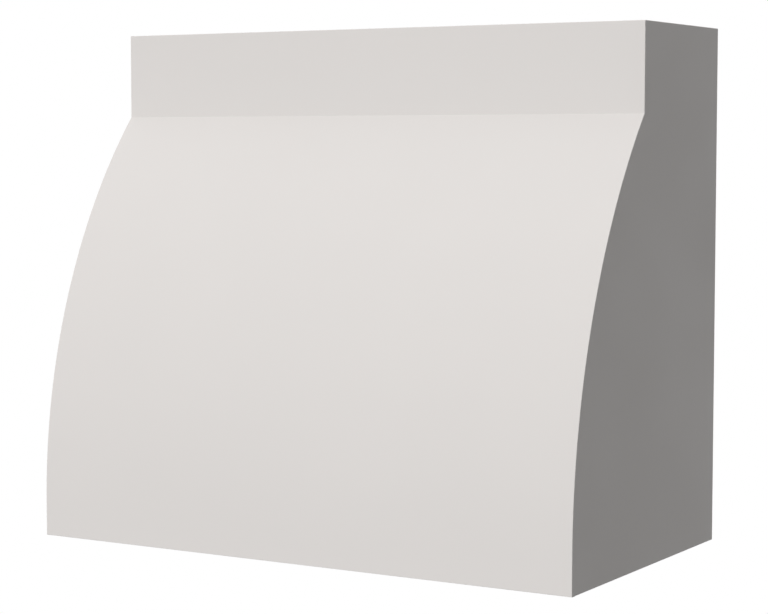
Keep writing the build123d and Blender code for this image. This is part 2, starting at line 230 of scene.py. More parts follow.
# Edges that turn by more than this stay crisp
SHARP_ANGLE = math.radians(14.5)

# The attribute that is 1 on eased edges
EASED = "eased"


def rows_between(low: float, high: float, ease_low: float, ease_high: float,
                 also: Sequence[float] = ()) -> np.ndarray:
    """Heights from low to high: evenly spaced, and closer together where an end is eased.

    At angle a round an easing of radius r, a height is r * (1 - cos a) from its end.

    Args:
        low: the lower end.
        high: the upper end.
        ease_low: radius of the lower end's easing, or 0.
        ease_high: radius of the upper end's easing, or 0.
        also: more heights that have to be there.
    Returns:
        The heights, rising.
    """
    turn = 1 - np.cos(np.linspace(0, math.pi / 2, TURN_STEPS + 1))
    foot, head = low + ease_low * turn, high - ease_high * turn
    count = max(2, round((high - low) / ROW_STEP))
    middle = np.linspace(foot[-1] + SUPPORT, head[-1] - SUPPORT, count)
    return np.unique(np.concatenate([foot, middle, head, also]))


def drawn_in(heights: np.ndarray, ease_low: float, ease_high: float) -> np.ndarray:
    """How far an eased face is drawn in: a quarter circle at each end of its height.

    At t inside the end of an easing of radius r, that is r - sqrt(r * r - (r - t) * (r - t)).

    Args:
        heights: the heights, rising.
        ease_low: radius of the lower end's easing, or 0.
        ease_high: radius of the upper end's easing, or 0.
    Returns:
        One distance for each height.
    """
    low = np.clip(ease_low - (heights - heights[0]), 0, None)
    high = np.clip(ease_high - (heights[-1] - heights), 0, None)
    return ease_low - np.sqrt(ease_low**2 - low**2) + ease_high - np.sqrt(ease_high**2 - high**2)


@dataclass(frozen=True)
class Corners:
    """Radii of a board's upright corners, anticlockwise as seen from above."""

    front_right: float = ARRIS
    back_right: float = ARRIS
    back_left: float = ARRIS
    front_left: float = ARRIS


@dataclass(frozen=True)
class LevelStack:
    """A board as a stack of level sections, each a rectangle with rounded corners.

    Its surface has two parameters: the height, and the way round the section. Round a corner of
    radius r the point is centre + r * (cos a, sin a) over a quarter turn, with one more point a
    little way along the straight at each end, which keeps the flats flat under smooth shading.

    Attributes:
        heights: the sections' heights, rising.
        left: x of the left side, one value or one for each height.
        right: x of the right side.
        front: y of the room side.
        back: y of the wall side.
        corners: the corners' radii.
    """

    heights: np.ndarray
    left: Level
    right: Level
    front: Level
    back: Level
    corners: Corners = Corners()

    def points(self) -> np.ndarray:
        """Works out the surface.

        Returns:
            Sections by points by 3.
        """
        ends = ((self.right, self.front, 1, -1), (self.right, self.back, 1, 1),
                (self.left, self.back, -1, 1), (self.left, self.front, -1, -1))
        starts = np.radians((-90, 0, 90, 180))
        turns = [self._corner(*end, start, radius)
                 for end, start, radius in zip(ends, starts, astuple(self.corners))]
        return np.concatenate(turns, axis=1)

    def _corner(self, x: Level, y: Level, x_sign: int, y_sign: int, start: float,
                radius: float) -> np.ndarray:
        """The points round one corner of every section.

        Args:
            x: where the side is, one value or one for each height.
            y: where the front or the back is.
            x_sign: 1 at the right, -1 at the left.
            y_sign: 1 at the wall side, -1 at the room side.
            start: direction in which the rounding starts, in radians.
            radius: of the rounding.
        Returns:
            Sections by points by 3.
        """
        angle = start + np.linspace(0, math.pi / 2, TURN_STEPS + 1)
        turn = radius * np.stack([np.cos(angle), np.sin(angle)], axis=-1)
        along = SUPPORT * np.stack([-np.sin(angle), np.cos(angle)], axis=-1)
        offsets = np.concatenate([turn[:1] - along[:1], turn, turn[-1:] + along[-1:]])
        across = np.reshape(x, (-1, 1)) - x_sign * radius + offsets[:, 0]
        inward = np.reshape(y, (-1, 1)) - y_sign * radius + offsets[:, 1]
        return np.stack(np.broadcast_arrays(across, inward, self.heights[:, None]), axis=-1)

    def mesh(self, name: str, drawn: Level = 0.0) -> bpy.types.Mesh:
        """Makes the board's mesh, and marks its eased edges with 1 in the attribute EASED.

        Args:
            name: the mesh's name.
            drawn: how far an eased face is drawn in at each height.
        Returns:
            The mesh.
        """
        mesh = skin_mesh(name, [self.points()])
        corners = [np.pad(np.full(TURN_STEPS + 1, radius > ARRIS), 1) for radius in astuple(self.corners)]
        eased = np.concatenate(corners)[None] | (np.reshape(drawn, (-1, 1)) > 0)
        marks = np.broadcast_to(eased, (len(self.heights), eased.shape[1]))
        layer = mesh.attributes.new(EASED, "FLOAT", "POINT")
        layer.data.foreach_set("value", marks.astype(np.float32).ravel())
        return mesh


def skin_mesh(name: str, grids: Sequence[np.ndarray], sharp_angle: float = SHARP_ANGLE) -> bpy.types.Mesh:
    """Joins rings of points into closed skins with a flat face on each end.

    Args:
        name: the mesh's name.
        grids: one for each skin: rings by points by 3, each ring anticlockwise as seen from the
            last one's side.
        sharp_angle: edges that turn by more than this stay crisp.
    Returns:
        The mesh, with its faces outward.
    """
    faces, first = [], 0
    for grid in grids:
        rings, around, _ = grid.shape
        index = first + np.arange(rings * around).reshape(rings, around)
        ahead = np.roll(index, -1, axis=1)
        walls = np.stack([index[:-1], ahead[:-1], ahead[1:], index[1:]], axis=-1).reshape(-1, 4)
        faces += walls.tolist() + [index[0, ::-1].tolist(), index[-1].tolist()]
        first += rings * around
    mesh = bpy.data.meshes.new(name)
    mesh.from_pydata(np.concatenate([grid.reshape(-1, 3) for grid in grids]), [], faces)
    return shade_by_angle(mesh, sharp_angle)


def shade_by_angle(mesh: bpy.types.Mesh, sharp_angle: float = SHARP_ANGLE) -> bpy.types.Mesh:
    """Shades a mesh smooth, but for the edges that turn by more than an angle.

    Args:
        mesh: the mesh.
        sharp_angle: the angle, in radians.
    Returns:
        The same mesh.
    """
    mesh.shade_smooth()
    mesh.set_sharp_from_angle(angle=sharp_angle)
    mesh.update()
    return mesh


def merged_copy(node: str) -> bpy.types.Mesh:
    """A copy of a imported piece's mesh, with its loose triangles joined and its rounds smooth.

    Corners at the same place become one point, and a triangle that closes up by that is dropped.

    Args:
        node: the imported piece's name.
    Returns:
        The new mesh.
    """
    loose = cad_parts[node].data
    places = np.empty(3 * len(loose.vertices), np.float32)
    loose.vertices.foreach_get("co", places)
    corners = np.empty(len(loose.loops), np.int32)
    loose.loops.foreach_get("vertex_index", corners)
    points, merged = np.unique(places.reshape(-1, 3), axis=0, return_inverse=True)
    triangles = merged.ravel()[corners].reshape(-1, 3)
    whole = (triangles != np.roll(triangles, 1, axis=1)).all(axis=1)
    mesh = bpy.data.meshes.new(f"{node}_smooth")
    mesh.from_pydata(points, [], triangles[whole].tolist())
    return shade_by_angle(mesh)


# ---- node graphs ----


class Value:
    """What a node gives: a number, a vector, a colour or a shader. Numbers take the usual signs."""

    def __init__(self, graph: "Graph", socket: bpy.types.NodeSocket) -> None:
        """Takes over a node's output."""
        self.graph = graph
        self.socket = socket

    def __add__(self, other: "Input") -> "Value":
        """This number plus another."""
        return self.graph.math("ADD", self, other)

    def __sub__(self, other: "Input") -> "Value":
        """This number less another."""
        return self.graph.math("SUBTRACT", self, other)

    def __rsub__(self, other: float) -> "Value":
        """A constant less this number."""
        return self.graph.math("SUBTRACT", other, self)

    def __mul__(self, other: "Input") -> "Value":
        """This number times another."""
        return self.graph.math("MULTIPLY", self, other)

    def __truediv__(self, other: "Input") -> "Value":
        """This number over another."""
        return self.graph.math("DIVIDE", self, other)

    def __neg__(self) -> "Value":
        """This number with its sign turned."""
        return self * -1.0

    def __abs__(self) -> "Value":
        """This number without its sign."""
        return self.graph.math("ABSOLUTE", self)


Input = Union[Value, float, Sequence[float]]
Inputs = Mapping[Union[str, int], Input]


@dataclass(frozen=True)
class Coat:
    """What a finish hands to the shader.

    Attributes:
        colour: of the surface.
        roughness: from 0 to 1.
        height: of its relief, in millimetres.
    """

    colour: Input
    roughness: Input
    height: Input


@dataclass(frozen=True)
class Lumps:
    """Soft random lumps.

    Attributes:
        count: how many go into a metre, one number or one for each axis.
        detail: how many finer layers are added.
        bend: how far they are distorted.
    """

    count: Input
    detail: float = 2.0
    bend: float = 0.0


@dataclass(frozen=True)
class Fade:
    """A smooth change from one value to another.

    Attributes:
        start: the value up to which nothing shows.
        whole: the value from which all shows. It may be less than start.
        least: what shows up to start all the same.
    """

    start: float
    whole: float
    least: float = 0.0


@dataclass(frozen=True)
class Patches:
    """Patches that show where lumps rise above a level.

    Attributes:
        lumps: the noise.
        fade: where in it the patches start and are whole.
    """

    lumps: Lumps
    fade: Fade = Fade(0.3, 0.7)


class Graph:
    """Short calls that add nodes to one tree and join them."""

    def __init__(self, tree: bpy.types.NodeTree) -> None:
        """Takes over a tree, and empties it."""
        self.tree = tree
        tree.nodes.clear()

    def node(self, kind: str, inputs: Inputs, **options: object) -> bpy.types.Node:
        """Adds a node.

        Args:
            kind: the node's type, without its leading "ShaderNode".
            inputs: for each input, by name or place, a socket to join or a constant to set.
            options: the node's own settings.
        Returns:
            The node.
        """
        made = self.tree.nodes.new(f"ShaderNode{kind}")
        for option, value in options.items():
            setattr(made, option, value)
        for key, value in inputs.items():
            if isinstance(value, Value):
                self.tree.links.new(value.socket, made.inputs[key])
            else:
                made.inputs[key].default_value = value
        return made

    def value(self, kind: str, inputs: Inputs, output: Union[str, int] = 0, **options: object) -> Value:
        """Adds a node in the same way, and gives one of its outputs, by name or place."""
        return Value(self, self.node(kind, inputs, **options).outputs[output])

    def values(self, kind: str, inputs: Inputs, **options: object) -> dict[str, Value]:
        """Adds a node in the same way, and gives its outputs by name."""
        outputs = self.node(kind, inputs, **options).outputs
        return {name: Value(self, socket) for name, socket in outputs.items()}

    def effect(self, group: bpy.types.NodeTree, inputs: Inputs) -> dict[str, Value]:
        """Places a shared effect with its inputs by name, and gives its outputs by name."""
        return self.values("Group", inputs, node_tree=group)

    def math(self, operation: str, *values: Input) -> Value:
        """A sum on numbers, by Blender's name for it."""
        return self.value("Math", dict(enumerate(values)), operation=operation)

    def least(self, *values: Input) -> Value:
        """The least of some numbers."""
        return reduce(partial(self.math, "MINIMUM"), values)

    def most(self, *values: Input) -> Value:
        """The greatest of some numbers."""
        return reduce(partial(self.math, "MAXIMUM"), values)

    def part(self, number: Value) -> Value:
        """What a number has past a whole one."""
        return self.math("FRACT", number)

    def stretch(self, vector: Value, scale: Input) -> Value:
        """A vector times a scale for each axis."""
        return self.value("VectorMath", {0: vector, 1: scale}, operation="MULTIPLY")

    def length(self, vector: Value) -> Value:
        """A vector's length."""
        return self.value("VectorMath", {0: vector}, "Value", operation="LENGTH")

    def split(self, vector: Value) -> tuple[Value, ...]:
        """A vector's x, y and z."""
        return tuple(self.values("SeparateXYZ", {0: vector}).values())

    def join(self, x: Input, y: Input, z: Input) -> Value:
        """A vector from its x, y and z."""
        return self.value("CombineXYZ", {0: x, 1: y, 2: z})

    def counted_from(self, start: Triple, point: Value) -> Value:
        """A point's place as counted from another, which is a constant."""
        back = tuple(-part for part in start)
        return self.value("Mapping", {"Vector": point, "Location": back}, vector_type="POINT")

    def noise(self, point: Value, lumps: Lumps) -> Value:
        """Soft random values.

        Args:
            point: where, in metres.
            lumps: how they lie.
        Returns:
            A value from 0 to 1, mostly near a half.
        """
        scale = lumps.count
        if not isinstance(scale, float):
            point, scale = self.stretch(point, scale), 1.0
        inputs = {"Vector": point, "Scale": scale, "Detail": lumps.detail, "Distortion": lumps.bend}
        return self.value("TexNoise", inputs)

    def fade(self, value: Value, kind: Fade) -> Value:
        """How much shows at a value, from the least that the fade leaves to 1."""
        inputs = {"Value": value, "From Min": kind.start, "From Max": kind.whole, "To Min": kind.least}
        return self.value("MapRange", inputs, interpolation_type="SMOOTHSTEP")

    def patches(self, point: Value, kind: Patches) -> Value:
        """How much of a patch shows at a point."""
        return self.fade(self.noise(point, kind.lumps), kind.fade)

    def blend(self, share: Input, first: Input, second: Input) -> Value:
        """A colour between two: the first at share 0, and the second at share 1."""
        return self.value("Mix", {0: share, 6: rgba(first), 7: rgba(second)}, 2, data_type="RGBA")

    def between(self, share: Input, first: Input, second: Input) -> Value:
        """A number between two: the first at share 0, and the second at share 1."""
        return self.value("Mix", {0: share, 2: first, 3: second}, data_type="FLOAT")

    def over(self, share: Input, under: Coat, top: Coat) -> Coat:
        """Lays one coat over another.

        Args:
            share: how much the upper coat covers, from 0 to 1.
            under: the lower coat.
            top: the upper coat.
        Returns:
            What shows.
        """
        colour = self.blend(share, under.colour, top.colour)
        roughness = self.between(share, under.roughness, top.roughness)
        return Coat(colour, roughness, self.between(share, under.height, top.height))


def rgba(colour: Input) -> Input:
    """A constant colour with its fourth value, or a node's colour as it is."""
    return colour if isinstance(colour, Value) else (*colour[:3], 1.0)


def shaded(colour: Triple, factor: float) -> Triple:
    """A colour made lighter or darker."""
    return tuple(part * factor for part in colour)


class EffectGraph(Graph):
    """The graph of a shared effect, which is a node group."""

    def __init__(self, name: str, vectors: Sequence[str], numbers: Sequence[str]) -> None:
        """Starts a group.

        Args:
            name: the group's name.
            vectors: names of its vector inputs.
            numbers: names of its number inputs.
        """
        super().__init__(bpy.data.node_groups.new(name, "ShaderNodeTree"))
        for kind, names in (("NodeSocketVector", vectors), ("NodeSocketFloat", numbers)):
            for given in names:
                self.tree.interface.new_socket(name=given, in_out="INPUT", socket_type=kind)
        outputs = self.tree.nodes.new("NodeGroupInput").outputs
        self.given = {name: Value(self, socket) for name, socket in outputs.items()}

    def close(self, results: Mapping[str, Value]) -> bpy.types.NodeTree:
        """Gives the group its outputs, each a number.

        Args:
            results: for each output, its value.
        Returns:
            The group.
        """
        for name in results:
            self.tree.interface.new_socket(name=name, in_out="OUTPUT", socket_type="NodeSocketFloat")
        end = self.tree.nodes.new("NodeGroupOutput").inputs
        for name, value in results.items():
            self.tree.links.new(value.socket, end[name])
        return self.tree


class MaterialGraph(Graph):
    """The graph of a material, with the surface's points and directions in the frame's axes."""

    def __init__(self, name: str) -> None:
        """Starts a material.

        Args:
            name: the material's name.
        """
        self.material = bpy.data.materials.new(name)
        self.material.use_nodes = True
        super().__init__(self.material.node_tree)
        coordinates = self.values("TexCoord", {})
        self.point, self.normal = coordinates["Object"], coordinates["Normal"]

    def show(self, coat: Coat, metallic: float = 0.0) -> bpy.types.Material:
        """Puts a coat on the surface.

        Args:
            coat: what shows.
            metallic: 1 for bare metal.
        Returns:
            The material.
        """
        bump = self.value("Bump", {"Height": coat.height, "Distance": MM})
        inputs = {"Base Color": coat.colour, "Roughness": coat.roughness, "Normal": bump}
        return self.finish(self.value("BsdfPrincipled", {**inputs, "Metallic": metallic}))

    def finish(self, shader: Value) -> bpy.types.Material:
        """Joins a shader to the material's output, and returns the material."""
        self.node("OutputMaterial", {"Surface": shader})
        return self.material


# ---- shared effects ----
#
# A point is in metres. In the woods it is counted along the board's grain, across it in the
# board's face, and through the board, and a direction is given in the same order.


@dataclass(frozen=True)
class WoodFibres:
    """Fine streaks along x, and short dark pores among them.

    Its inputs Along and Across are how many coarse streaks go into a metre. Fine ones lie among them.

    Attributes:
        coarse_detail: finer layers in the coarse streaks.
        shorter: how much shorter the fine streaks are.
        thinner: how much thinner they are.
        fine_share: how much of the pattern they make up.
        streak: how the two together show.
        pore: how the fine ones show as pores.
    """

    coarse_detail: float = 3.0
    shorter: float = 5.0
    thinner: float = 2.6
    fine_share: float = 0.5
    streak: Fade = Fade(0.34, 0.66)
    pore: Fade = Fade(0.60, 0.70)

    def group(self) -> bpy.types.NodeTree:
        """Builds the effect.

        Returns:
            Its node group.
        """
        g = EffectGraph("wood_fibres", ["Point"], ["Along", "Across"])
        point, along, across = g.given["Point"], g.given["Along"], g.given["Across"]
        short, thin = along * self.shorter, across * self.thinner
        coarse = g.noise(point, Lumps(g.join(along, across, across), self.coarse_detail))
        fine = g.noise(point, Lumps(g.join(short, thin, thin)))
        streaks = g.fade(g.between(self.fine_share, coarse, fine), self.streak)
        return g.close({"Fibre": streaks, "Pore": g.fade(fine, self.pore)})


@dataclass(frozen=True)
class GrowthRings:
    """Late wood from 0 to 1: over each ring it darkens slowly, and then ends at once.

    Its input Place counts the rings.

    Attributes:
        darkens: where in a ring it darkens.
        ends: where it ends.
    """

    darkens: Fade = Fade(0.25, 0.92)
    ends: Fade = Fade(1.0, 0.94)

    def group(self) -> bpy.types.NodeTree:
        """Builds the effect.

        Returns:
            Its node group.
        """
        g = EffectGraph("growth_rings", [], ["Place"])
        part = g.part(g.given["Place"])
        return g.close({"Late": g.fade(part, self.darkens) * g.fade(part, self.ends)})


@dataclass(frozen=True)
class CrossedVeneers:
    """Veneers peeled from a log and glued crosswise, so every second one has its grain turned.

    The rings are level lines of slow noise, drawn out along the veneer's grain. A veneer is
    darker where its fibres are cut across, and a dark line of glue shows between two of them.

    Attributes:
        fibres: the effect for its fibres.
        rings: the effect for its growth rings.
        along: coarse fibres in a metre of grain.
        across: coarse fibres in a metre across it.
        move: how far the grain moves on from one veneer to the next, in metres.
        inside: the least and the most that a place through the board may be, as a share.
        peel: the noise whose level lines are the rings.
        ring_count: how many rings it holds.
        clear: where the rings are clear.
        broad: broad soft bands.
        fleck: small marks.
        end: how far a face looks along the fibres before they show as cut.
        edge_on: how far it looks away from the board's face before the glue shows.
        glue: how far the glue lies from the middle of a veneer, as a share of its thickness.
    """

    fibres: bpy.types.NodeTree
    rings: bpy.types.NodeTree
    along: float = 22.0
    across: float = 750.0
    move: float = 0.731
    inside: tuple[float, float] = (0.001, 0.999)
    peel: Lumps = Lumps((0.8, 5.5, 2.0), 3.0, 0.3)
    ring_count: float = 19.0
    clear: Patches = Patches(Lumps((1.5, 9.0, 9.0), 1.0), Fade(0.3, 0.7, 0.3))
    broad: Patches = Patches(Lumps((0.7, 7.0, 7.0), 1.0))
    fleck: Patches = Patches(Lumps((55.0, 520.0, 520.0), 0.0), Fade(0.80, 0.86))
    end: Fade = Fade(0.3, 0.9)
    edge_on: Fade = Fade(0.75, 0.3)
    glue: Fade = Fade(0.43, 0.48)

    def group(self) -> bpy.types.NodeTree:
        """Builds the effect.

        Returns:
            Its node group.
        """
        g = EffectGraph("crossed_veneers", ["Point", "Normal"], ["Thickness", "Plies", "Seed"])
        x, y, z = g.split(g.given["Point"])
        nx, ny, nz = g.split(g.given["Normal"])
        lowest, highest = self.inside
        layer = g.least(g.most(z / g.given["Thickness"], lowest), highest) * g.given["Plies"]
        number = g.math("FLOOR", layer)
        turned = g.math("MODULO", number, 2.0)
        shift = number * self.move + g.given["Seed"]
        point = g.join(g.between(turned, x, y) + shift, g.between(turned, y, x) + shift, z)
        late = g.effect(self.rings, {"Place": g.noise(point, self.peel) * self.ring_count})["Late"]
        off_middle = abs(g.part(layer) - 0.5)
        return g.close({
            **g.effect(self.fibres, {"Point": point, "Along": self.along, "Across": self.across}),
            "Ring": late * g.patches(point, self.clear),
            "Broad": g.patches(point, self.broad),
            "Fleck": g.patches(point, self.fleck),
            "End": g.fade(abs(g.between(turned, nx, ny)), self.end),
            "Glue": g.fade(off_middle, self.glue) * g.fade(abs(nz), self.edge_on),
        })


@dataclass(frozen=True)
class SawnLog:
    """Solid wood sawn from a log whose heart runs beside the board.

    The rings are circles round the heart, bent and unevenly spaced by slow noise. Heartwood and
    mineral streaks are long patches of noise.

    Attributes:
        fibres: the effect for its fibres.
        rings: the effect for its growth rings.
        along: coarse fibres in a metre of grain.
        across: coarse fibres in a metre across it.
        beside: how far the heart may be from the board's edge, least and most.
        below: how far it may be from the board's face.
        stirs: what the seed is multiplied by to pick each of the two.
        ring_count: how many rings go into a metre from the heart.
        waver: the noise that bends the rings.
        waver_rings: how many rings it bends them by.
        spacing: the noise that spaces them unevenly on the way out from the heart.
        spacing_rings: how many rings it moves them by.
        clear: where the rings are clear.
        heart: where the heartwood is.
        streak: where the mineral streaks are.
        end: how far a face looks along the fibres before they show as cut.
    """

    fibres: bpy.types.NodeTree
    rings: bpy.types.NodeTree
    along: float = 26.0
    across: float = 800.0
    beside: tuple[float, float] = (15 * MM, 75 * MM)
    below: tuple[float, float] = (30 * MM, 80 * MM)
    stirs: tuple[float, float] = (3.7, 1.9)
    ring_count: float = 210.0
    waver: Lumps = Lumps((1.4, 14.0, 14.0))
    waver_rings: float = 5.0
    spacing: Lumps = Lumps((70.0, 1.0, 1.0), 1.0)
    spacing_rings: float = 4.0
    clear: Patches = Patches(Lumps((2.0, 40.0, 40.0), 1.0), Fade(0.3, 0.7, 0.25))
    heart: Patches = Patches(Lumps((0.8, 26.0, 26.0), 1.0), Fade(0.46, 0.66))
    streak: Patches = Patches(Lumps((1.1, 85.0, 60.0), 1.0), Fade(0.64, 0.76))
    end: Fade = Fade(0.4, 0.9)

    def group(self) -> bpy.types.NodeTree:
        """Builds the effect.

        Returns:
            Its node group.
        """
        g = EffectGraph("sawn_log", ["Point", "Normal"], ["Seed"])
        x, y, z = g.split(g.given["Point"])
        seed = g.given["Seed"]
        beside, below = (g.between(g.part(seed * stir), *limits)
                         for stir, limits in zip(self.stirs, (self.beside, self.below)))
        point = g.join(x + seed, y + beside, z + below)
        away = g.length(g.stretch(point, (0.0, 1.0, 1.0)))
        bend = g.noise(point, self.waver) * self.waver_rings
        spacing = g.noise(g.join(away, seed, 0.0), self.spacing) * self.spacing_rings
        late = g.effect(self.rings, {"Place": away * self.ring_count + (bend + spacing)})["Late"]
        return g.close({
            **g.effect(self.fibres, {"Point": point, "Along": self.along, "Across": self.across}),
            "Ring": late * g.patches(point, self.clear),
            "Heartwood": g.patches(point, self.heart),
            "Streak": g.patches(point, self.streak),
            "End": g.fade(abs(g.split(g.given["Normal"])[0]), self.end),
        })


@dataclass(frozen=True)
class SprayCoverage:
    """Where sprayed paint lies on a piece: on the outside, on the rim under the bottom panel, on
    top, and as a mist of specks that thins out from the open edges at the back and the top.

    Attributes:
        face: how far in from a painted outer face it lies.
        rim: how far above the rim it lies.
        top: how far below the top edge it lies.
        upward: how far a face has to look up to count as the top.
        wall: the y of the faces at the wall, which lie out of the spray's way.
        wallward: how far such a face has to look toward the wall.
        rag: the noise that makes its limits ragged.
        ragged: how ragged they are.
        mist: how far in from an open edge the mist lies.
        specks: the specks of mist.
        mist_share: how much they cover.
    """

    face: Fade = Fade(1.6 * MM, 1.1 * MM)
    rim: Fade = Fade(9 * MM, 4 * MM)
    top: Fade = Fade(2 * MM, 1 * MM)
    upward: Fade = Fade(0.2, 0.6)
    wall: Fade = Fade(-4 * MM, -1 * MM)
    wallward: Fade = Fade(0.4, 0.8)
    rag: Lumps = Lumps(160.0, 3.0)
    ragged: float = 3 * MM
    mist: Fade = Fade(24 * MM, 0.0)
    specks: Patches = Patches(Lumps(1500.0), Fade(0.48, 0.66))
    mist_share: float = 0.7

    def group(self) -> bpy.types.NodeTree:
        """Builds the effect.

        Returns:
            Its node group.
        """
        g = EffectGraph("spray_coverage", ["Point", "Normal"], ["Half Width", "Front", "Top", "Rim"])
        point = g.given["Point"]
        x, y, z = g.split(point)
        _, toward_wall, upward = g.split(g.given["Normal"])
        ragged = g.noise(point, self.rag) * self.ragged
        from_side = g.given["Half Width"] - abs(x)
        from_front = g.given["Front"] + y
        from_top = g.given["Top"] - z
        above_rim = z + ragged - g.given["Rim"]
        at_wall = g.fade(toward_wall, self.wallward) * g.fade(y, self.wall)
        outside = g.most(g.fade(from_side, self.face), g.fade(from_front, self.face))
        rim = g.fade(above_rim, self.rim) * (1.0 - at_wall)
        top = g.fade(from_top, self.top) * g.fade(upward, self.upward)
        outline = g.least(from_side, z, from_top)
        from_opening = g.least(g.between(at_wall, -y, outline), from_top)
        mist = g.fade(from_opening + ragged, self.mist) * g.patches(point, self.specks)
        return g.close({"Cover": g.most(outside, mist * self.mist_share, rim, top)})


@dataclass(frozen=True)
class SprayedSkin:
    """The faint unevenness of sprayed paint: slow changes of tone and a fine orange peel.

    Attributes:
        slow: changes all over.
        passes: bands along the way that the spray gun went.
        passes_share: how much of the tone they make up.
        peel: the orange peel.
    """

    slow: Lumps = Lumps(5.0)
    passes: Lumps = Lumps((0.6, 9.0, 9.0), 1.0)
    passes_share: float = 0.4
    peel: Lumps = Lumps(420.0)

    def group(self) -> bpy.types.NodeTree:
        """Builds the effect.

        Returns:
            Its node group.
        """
        g = EffectGraph("sprayed_skin", ["Point"], [])
        kinds = (self.slow, self.passes, self.peel)
        slow, passes, peel = (g.noise(g.given["Point"], lumps) for lumps in kinds)
        return g.close({"Tone": g.between(self.passes_share, slow, passes), "Peel": peel})


@dataclass(frozen=True)
class SettledDust:
    """Sawdust and house dust, in drifts of fine grains on what looks up.

    Attributes:
        upward: how far a face has to look up.
        drifts: where it gathered.
        grains: its grains.
    """

    upward: Fade = Fade(0.35, 0.95)
    drifts: Patches = Patches(Lumps(14.0, 4.0), Fade(0.3, 0.7, 0.35))
    grains: Patches = Patches(Lumps(1100.0, 1.0), Fade(0.35, 0.7, 0.5))

    def group(self) -> bpy.types.NodeTree:
        """Builds the effect.

        Returns:
            Its node group.
        """
        g = EffectGraph("settled_dust", ["Point", "Normal"], ["Amount"])
        upward = g.fade(g.split(g.given["Normal"])[2], self.upward)
        drifts, grains = (g.patches(g.given["Point"], kind) for kind in (self.drifts, self.grains))
        return g.close({"Dust": upward * drifts * (grains * g.given["Amount"])})


@dataclass(frozen=True)
class EffectKit:
    """The shared effects, each a node group that is built once.

    Attributes:
        crossed_veneers: plywood.
        sawn_log: solid wood.
        spray_coverage: where paint lies.
        sprayed_skin: the surface of paint.
        settled_dust: dust on what looks up.
    """

    crossed_veneers: bpy.types.NodeTree
    sawn_log: bpy.types.NodeTree
    spray_coverage: bpy.types.NodeTree
    sprayed_skin: bpy.types.NodeTree
    settled_dust: bpy.types.NodeTree

    @classmethod
    def make(cls) -> "EffectKit":
        """Builds every effect.

        Returns:
            The effects.
        """
        fibres, rings = WoodFibres().group(), GrowthRings().group()
        woods = CrossedVeneers(fibres, rings), SawnLog(fibres, rings)
        return cls(*(effect.group() for effect in (*woods, SprayCoverage(), SprayedSkin(), SettledDust())))


# ---- finishes ----

# A place that no part of the cover reaches
FAR_OFF = 9.0


def own_number(name: str) -> float:
    """A number from 0 to 10 that goes with a name, the same in every run."""
    return zlib.crc32(name.encode()) % 1000 / 100


@dataclass(frozen=True)
class Lay:
    """How a board lies.

    Attributes:
        corner: its lowest corner.
        grain: the axis of its face grain, which runs the long way.
        across: the axis across the grain, in its face.
        through: the axis through it, which is the thin way.
        thickness: of the board.
    """

    corner: Triple
    grain: Axis
    across: Axis
    through: Axis
    thickness: float

    @classmethod
    def of(cls, node: str) -> "Lay":
        """Finds how a packed board lies.

        Args:
            node: the board's name.
        Returns:
            Its lay.
        """
        low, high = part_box(node)
        size = high - low
        through, across, grain = sorted(Axis, key=lambda axis: size[axis])
        return cls(tuple(low), grain, across, through, size[through])

    def turned(self, g: Graph, vector: Value) -> Value:
        """A vector with its parts in the order grain, across, through."""
        parts = g.split(vector)
        return g.join(parts[self.grain], parts[self.across], parts[self.through])

    def given(self, g: MaterialGraph) -> dict[str, Value]:
        """The point, counted from the board's corner, and the direction, both turned its way."""
        point = g.counted_from(self.corner, g.point)
        return {"Point": self.turned(g, point), "Normal": self.turned(g, g.normal)}


@dataclass(frozen=True)
class SprayReach:
    """How far the paint reaches on a piece. A limit that is far off switches its part off.

    Attributes:
        half_width: |x| of the faces that are painted at the sides.
        front: depth of the face that is painted at the front.
        top: height of the edge that is painted on top.
        rim: height up to which everything is painted.
    """

    half_width: float = FAR_OFF
    front: float = FAR_OFF
    top: float = FAR_OFF
    rim: float = -FAR_OFF

    def given(self) -> dict[str, float]:
        """The limits, by the names of the shared effect's inputs."""
        return {"Half Width": self.half_width, "Front": self.front, "Top": self.top, "Rim": self.rim}


@dataclass(frozen=True)
class SatinPaint:
    """Off-white satin paint, sprayed, and sanded between coats.

    Attributes:
        effects: the shared effects.
        colour: of the paint.
        variation: how far its tone strays, as a share.
        roughness: of its gloss.
        stray: how far its roughness strays either way.
        gloss: how it strays with the tone.
        peel: height of the orange peel, in millimetres.
        rub: how much paler, and how much smoother, an eased edge is where the sanding block rubbed it.
        rubbed: where it rubbed.
    """

    effects: EffectKit
    colour: Triple = (0.775, 0.744, 0.722)
    variation: float = 0.018
    roughness: float = 0.46
    stray: float = 0.03
    gloss: Fade = Fade(0.3, 0.7)
    peel: float = 0.014
    rub: float = 0.03
    rubbed: Patches = Patches(Lumps(60.0, 3.0), Fade(0.4, 0.7))

    def coat(self, g: MaterialGraph) -> Coat:
        """Lays out the paint on a surface.

        Args:
            g: the material's graph.
        Returns:
            The coat.
        """
        skin = g.effect(self.effects.sprayed_skin, {"Point": g.point})
        eased = g.value("Attribute", {}, "Fac", attribute_name=EASED)
        rubbed = eased * g.patches(g.point, self.rubbed)
        darkest, palest = shaded(self.colour, 1 - self.variation), shaded(self.colour, 1 + self.variation)
        colour = g.blend(rubbed, g.blend(skin["Tone"], darkest, palest), shaded(self.colour, 1 + self.rub))
        smoothest, roughest = self.roughness - self.stray, self.roughness + self.stray
        gloss = g.between(g.fade(skin["Tone"], self.gloss), smoothest, roughest)
        return Coat(colour, gloss - rubbed * self.rub, skin["Peel"] * self.peel)

    def material(self) -> bpy.types.Material:
        """Makes the finish of a piece that is painted wherever it shows."""
        g = MaterialGraph("satin_paint")
        return g.show(self.coat(g))


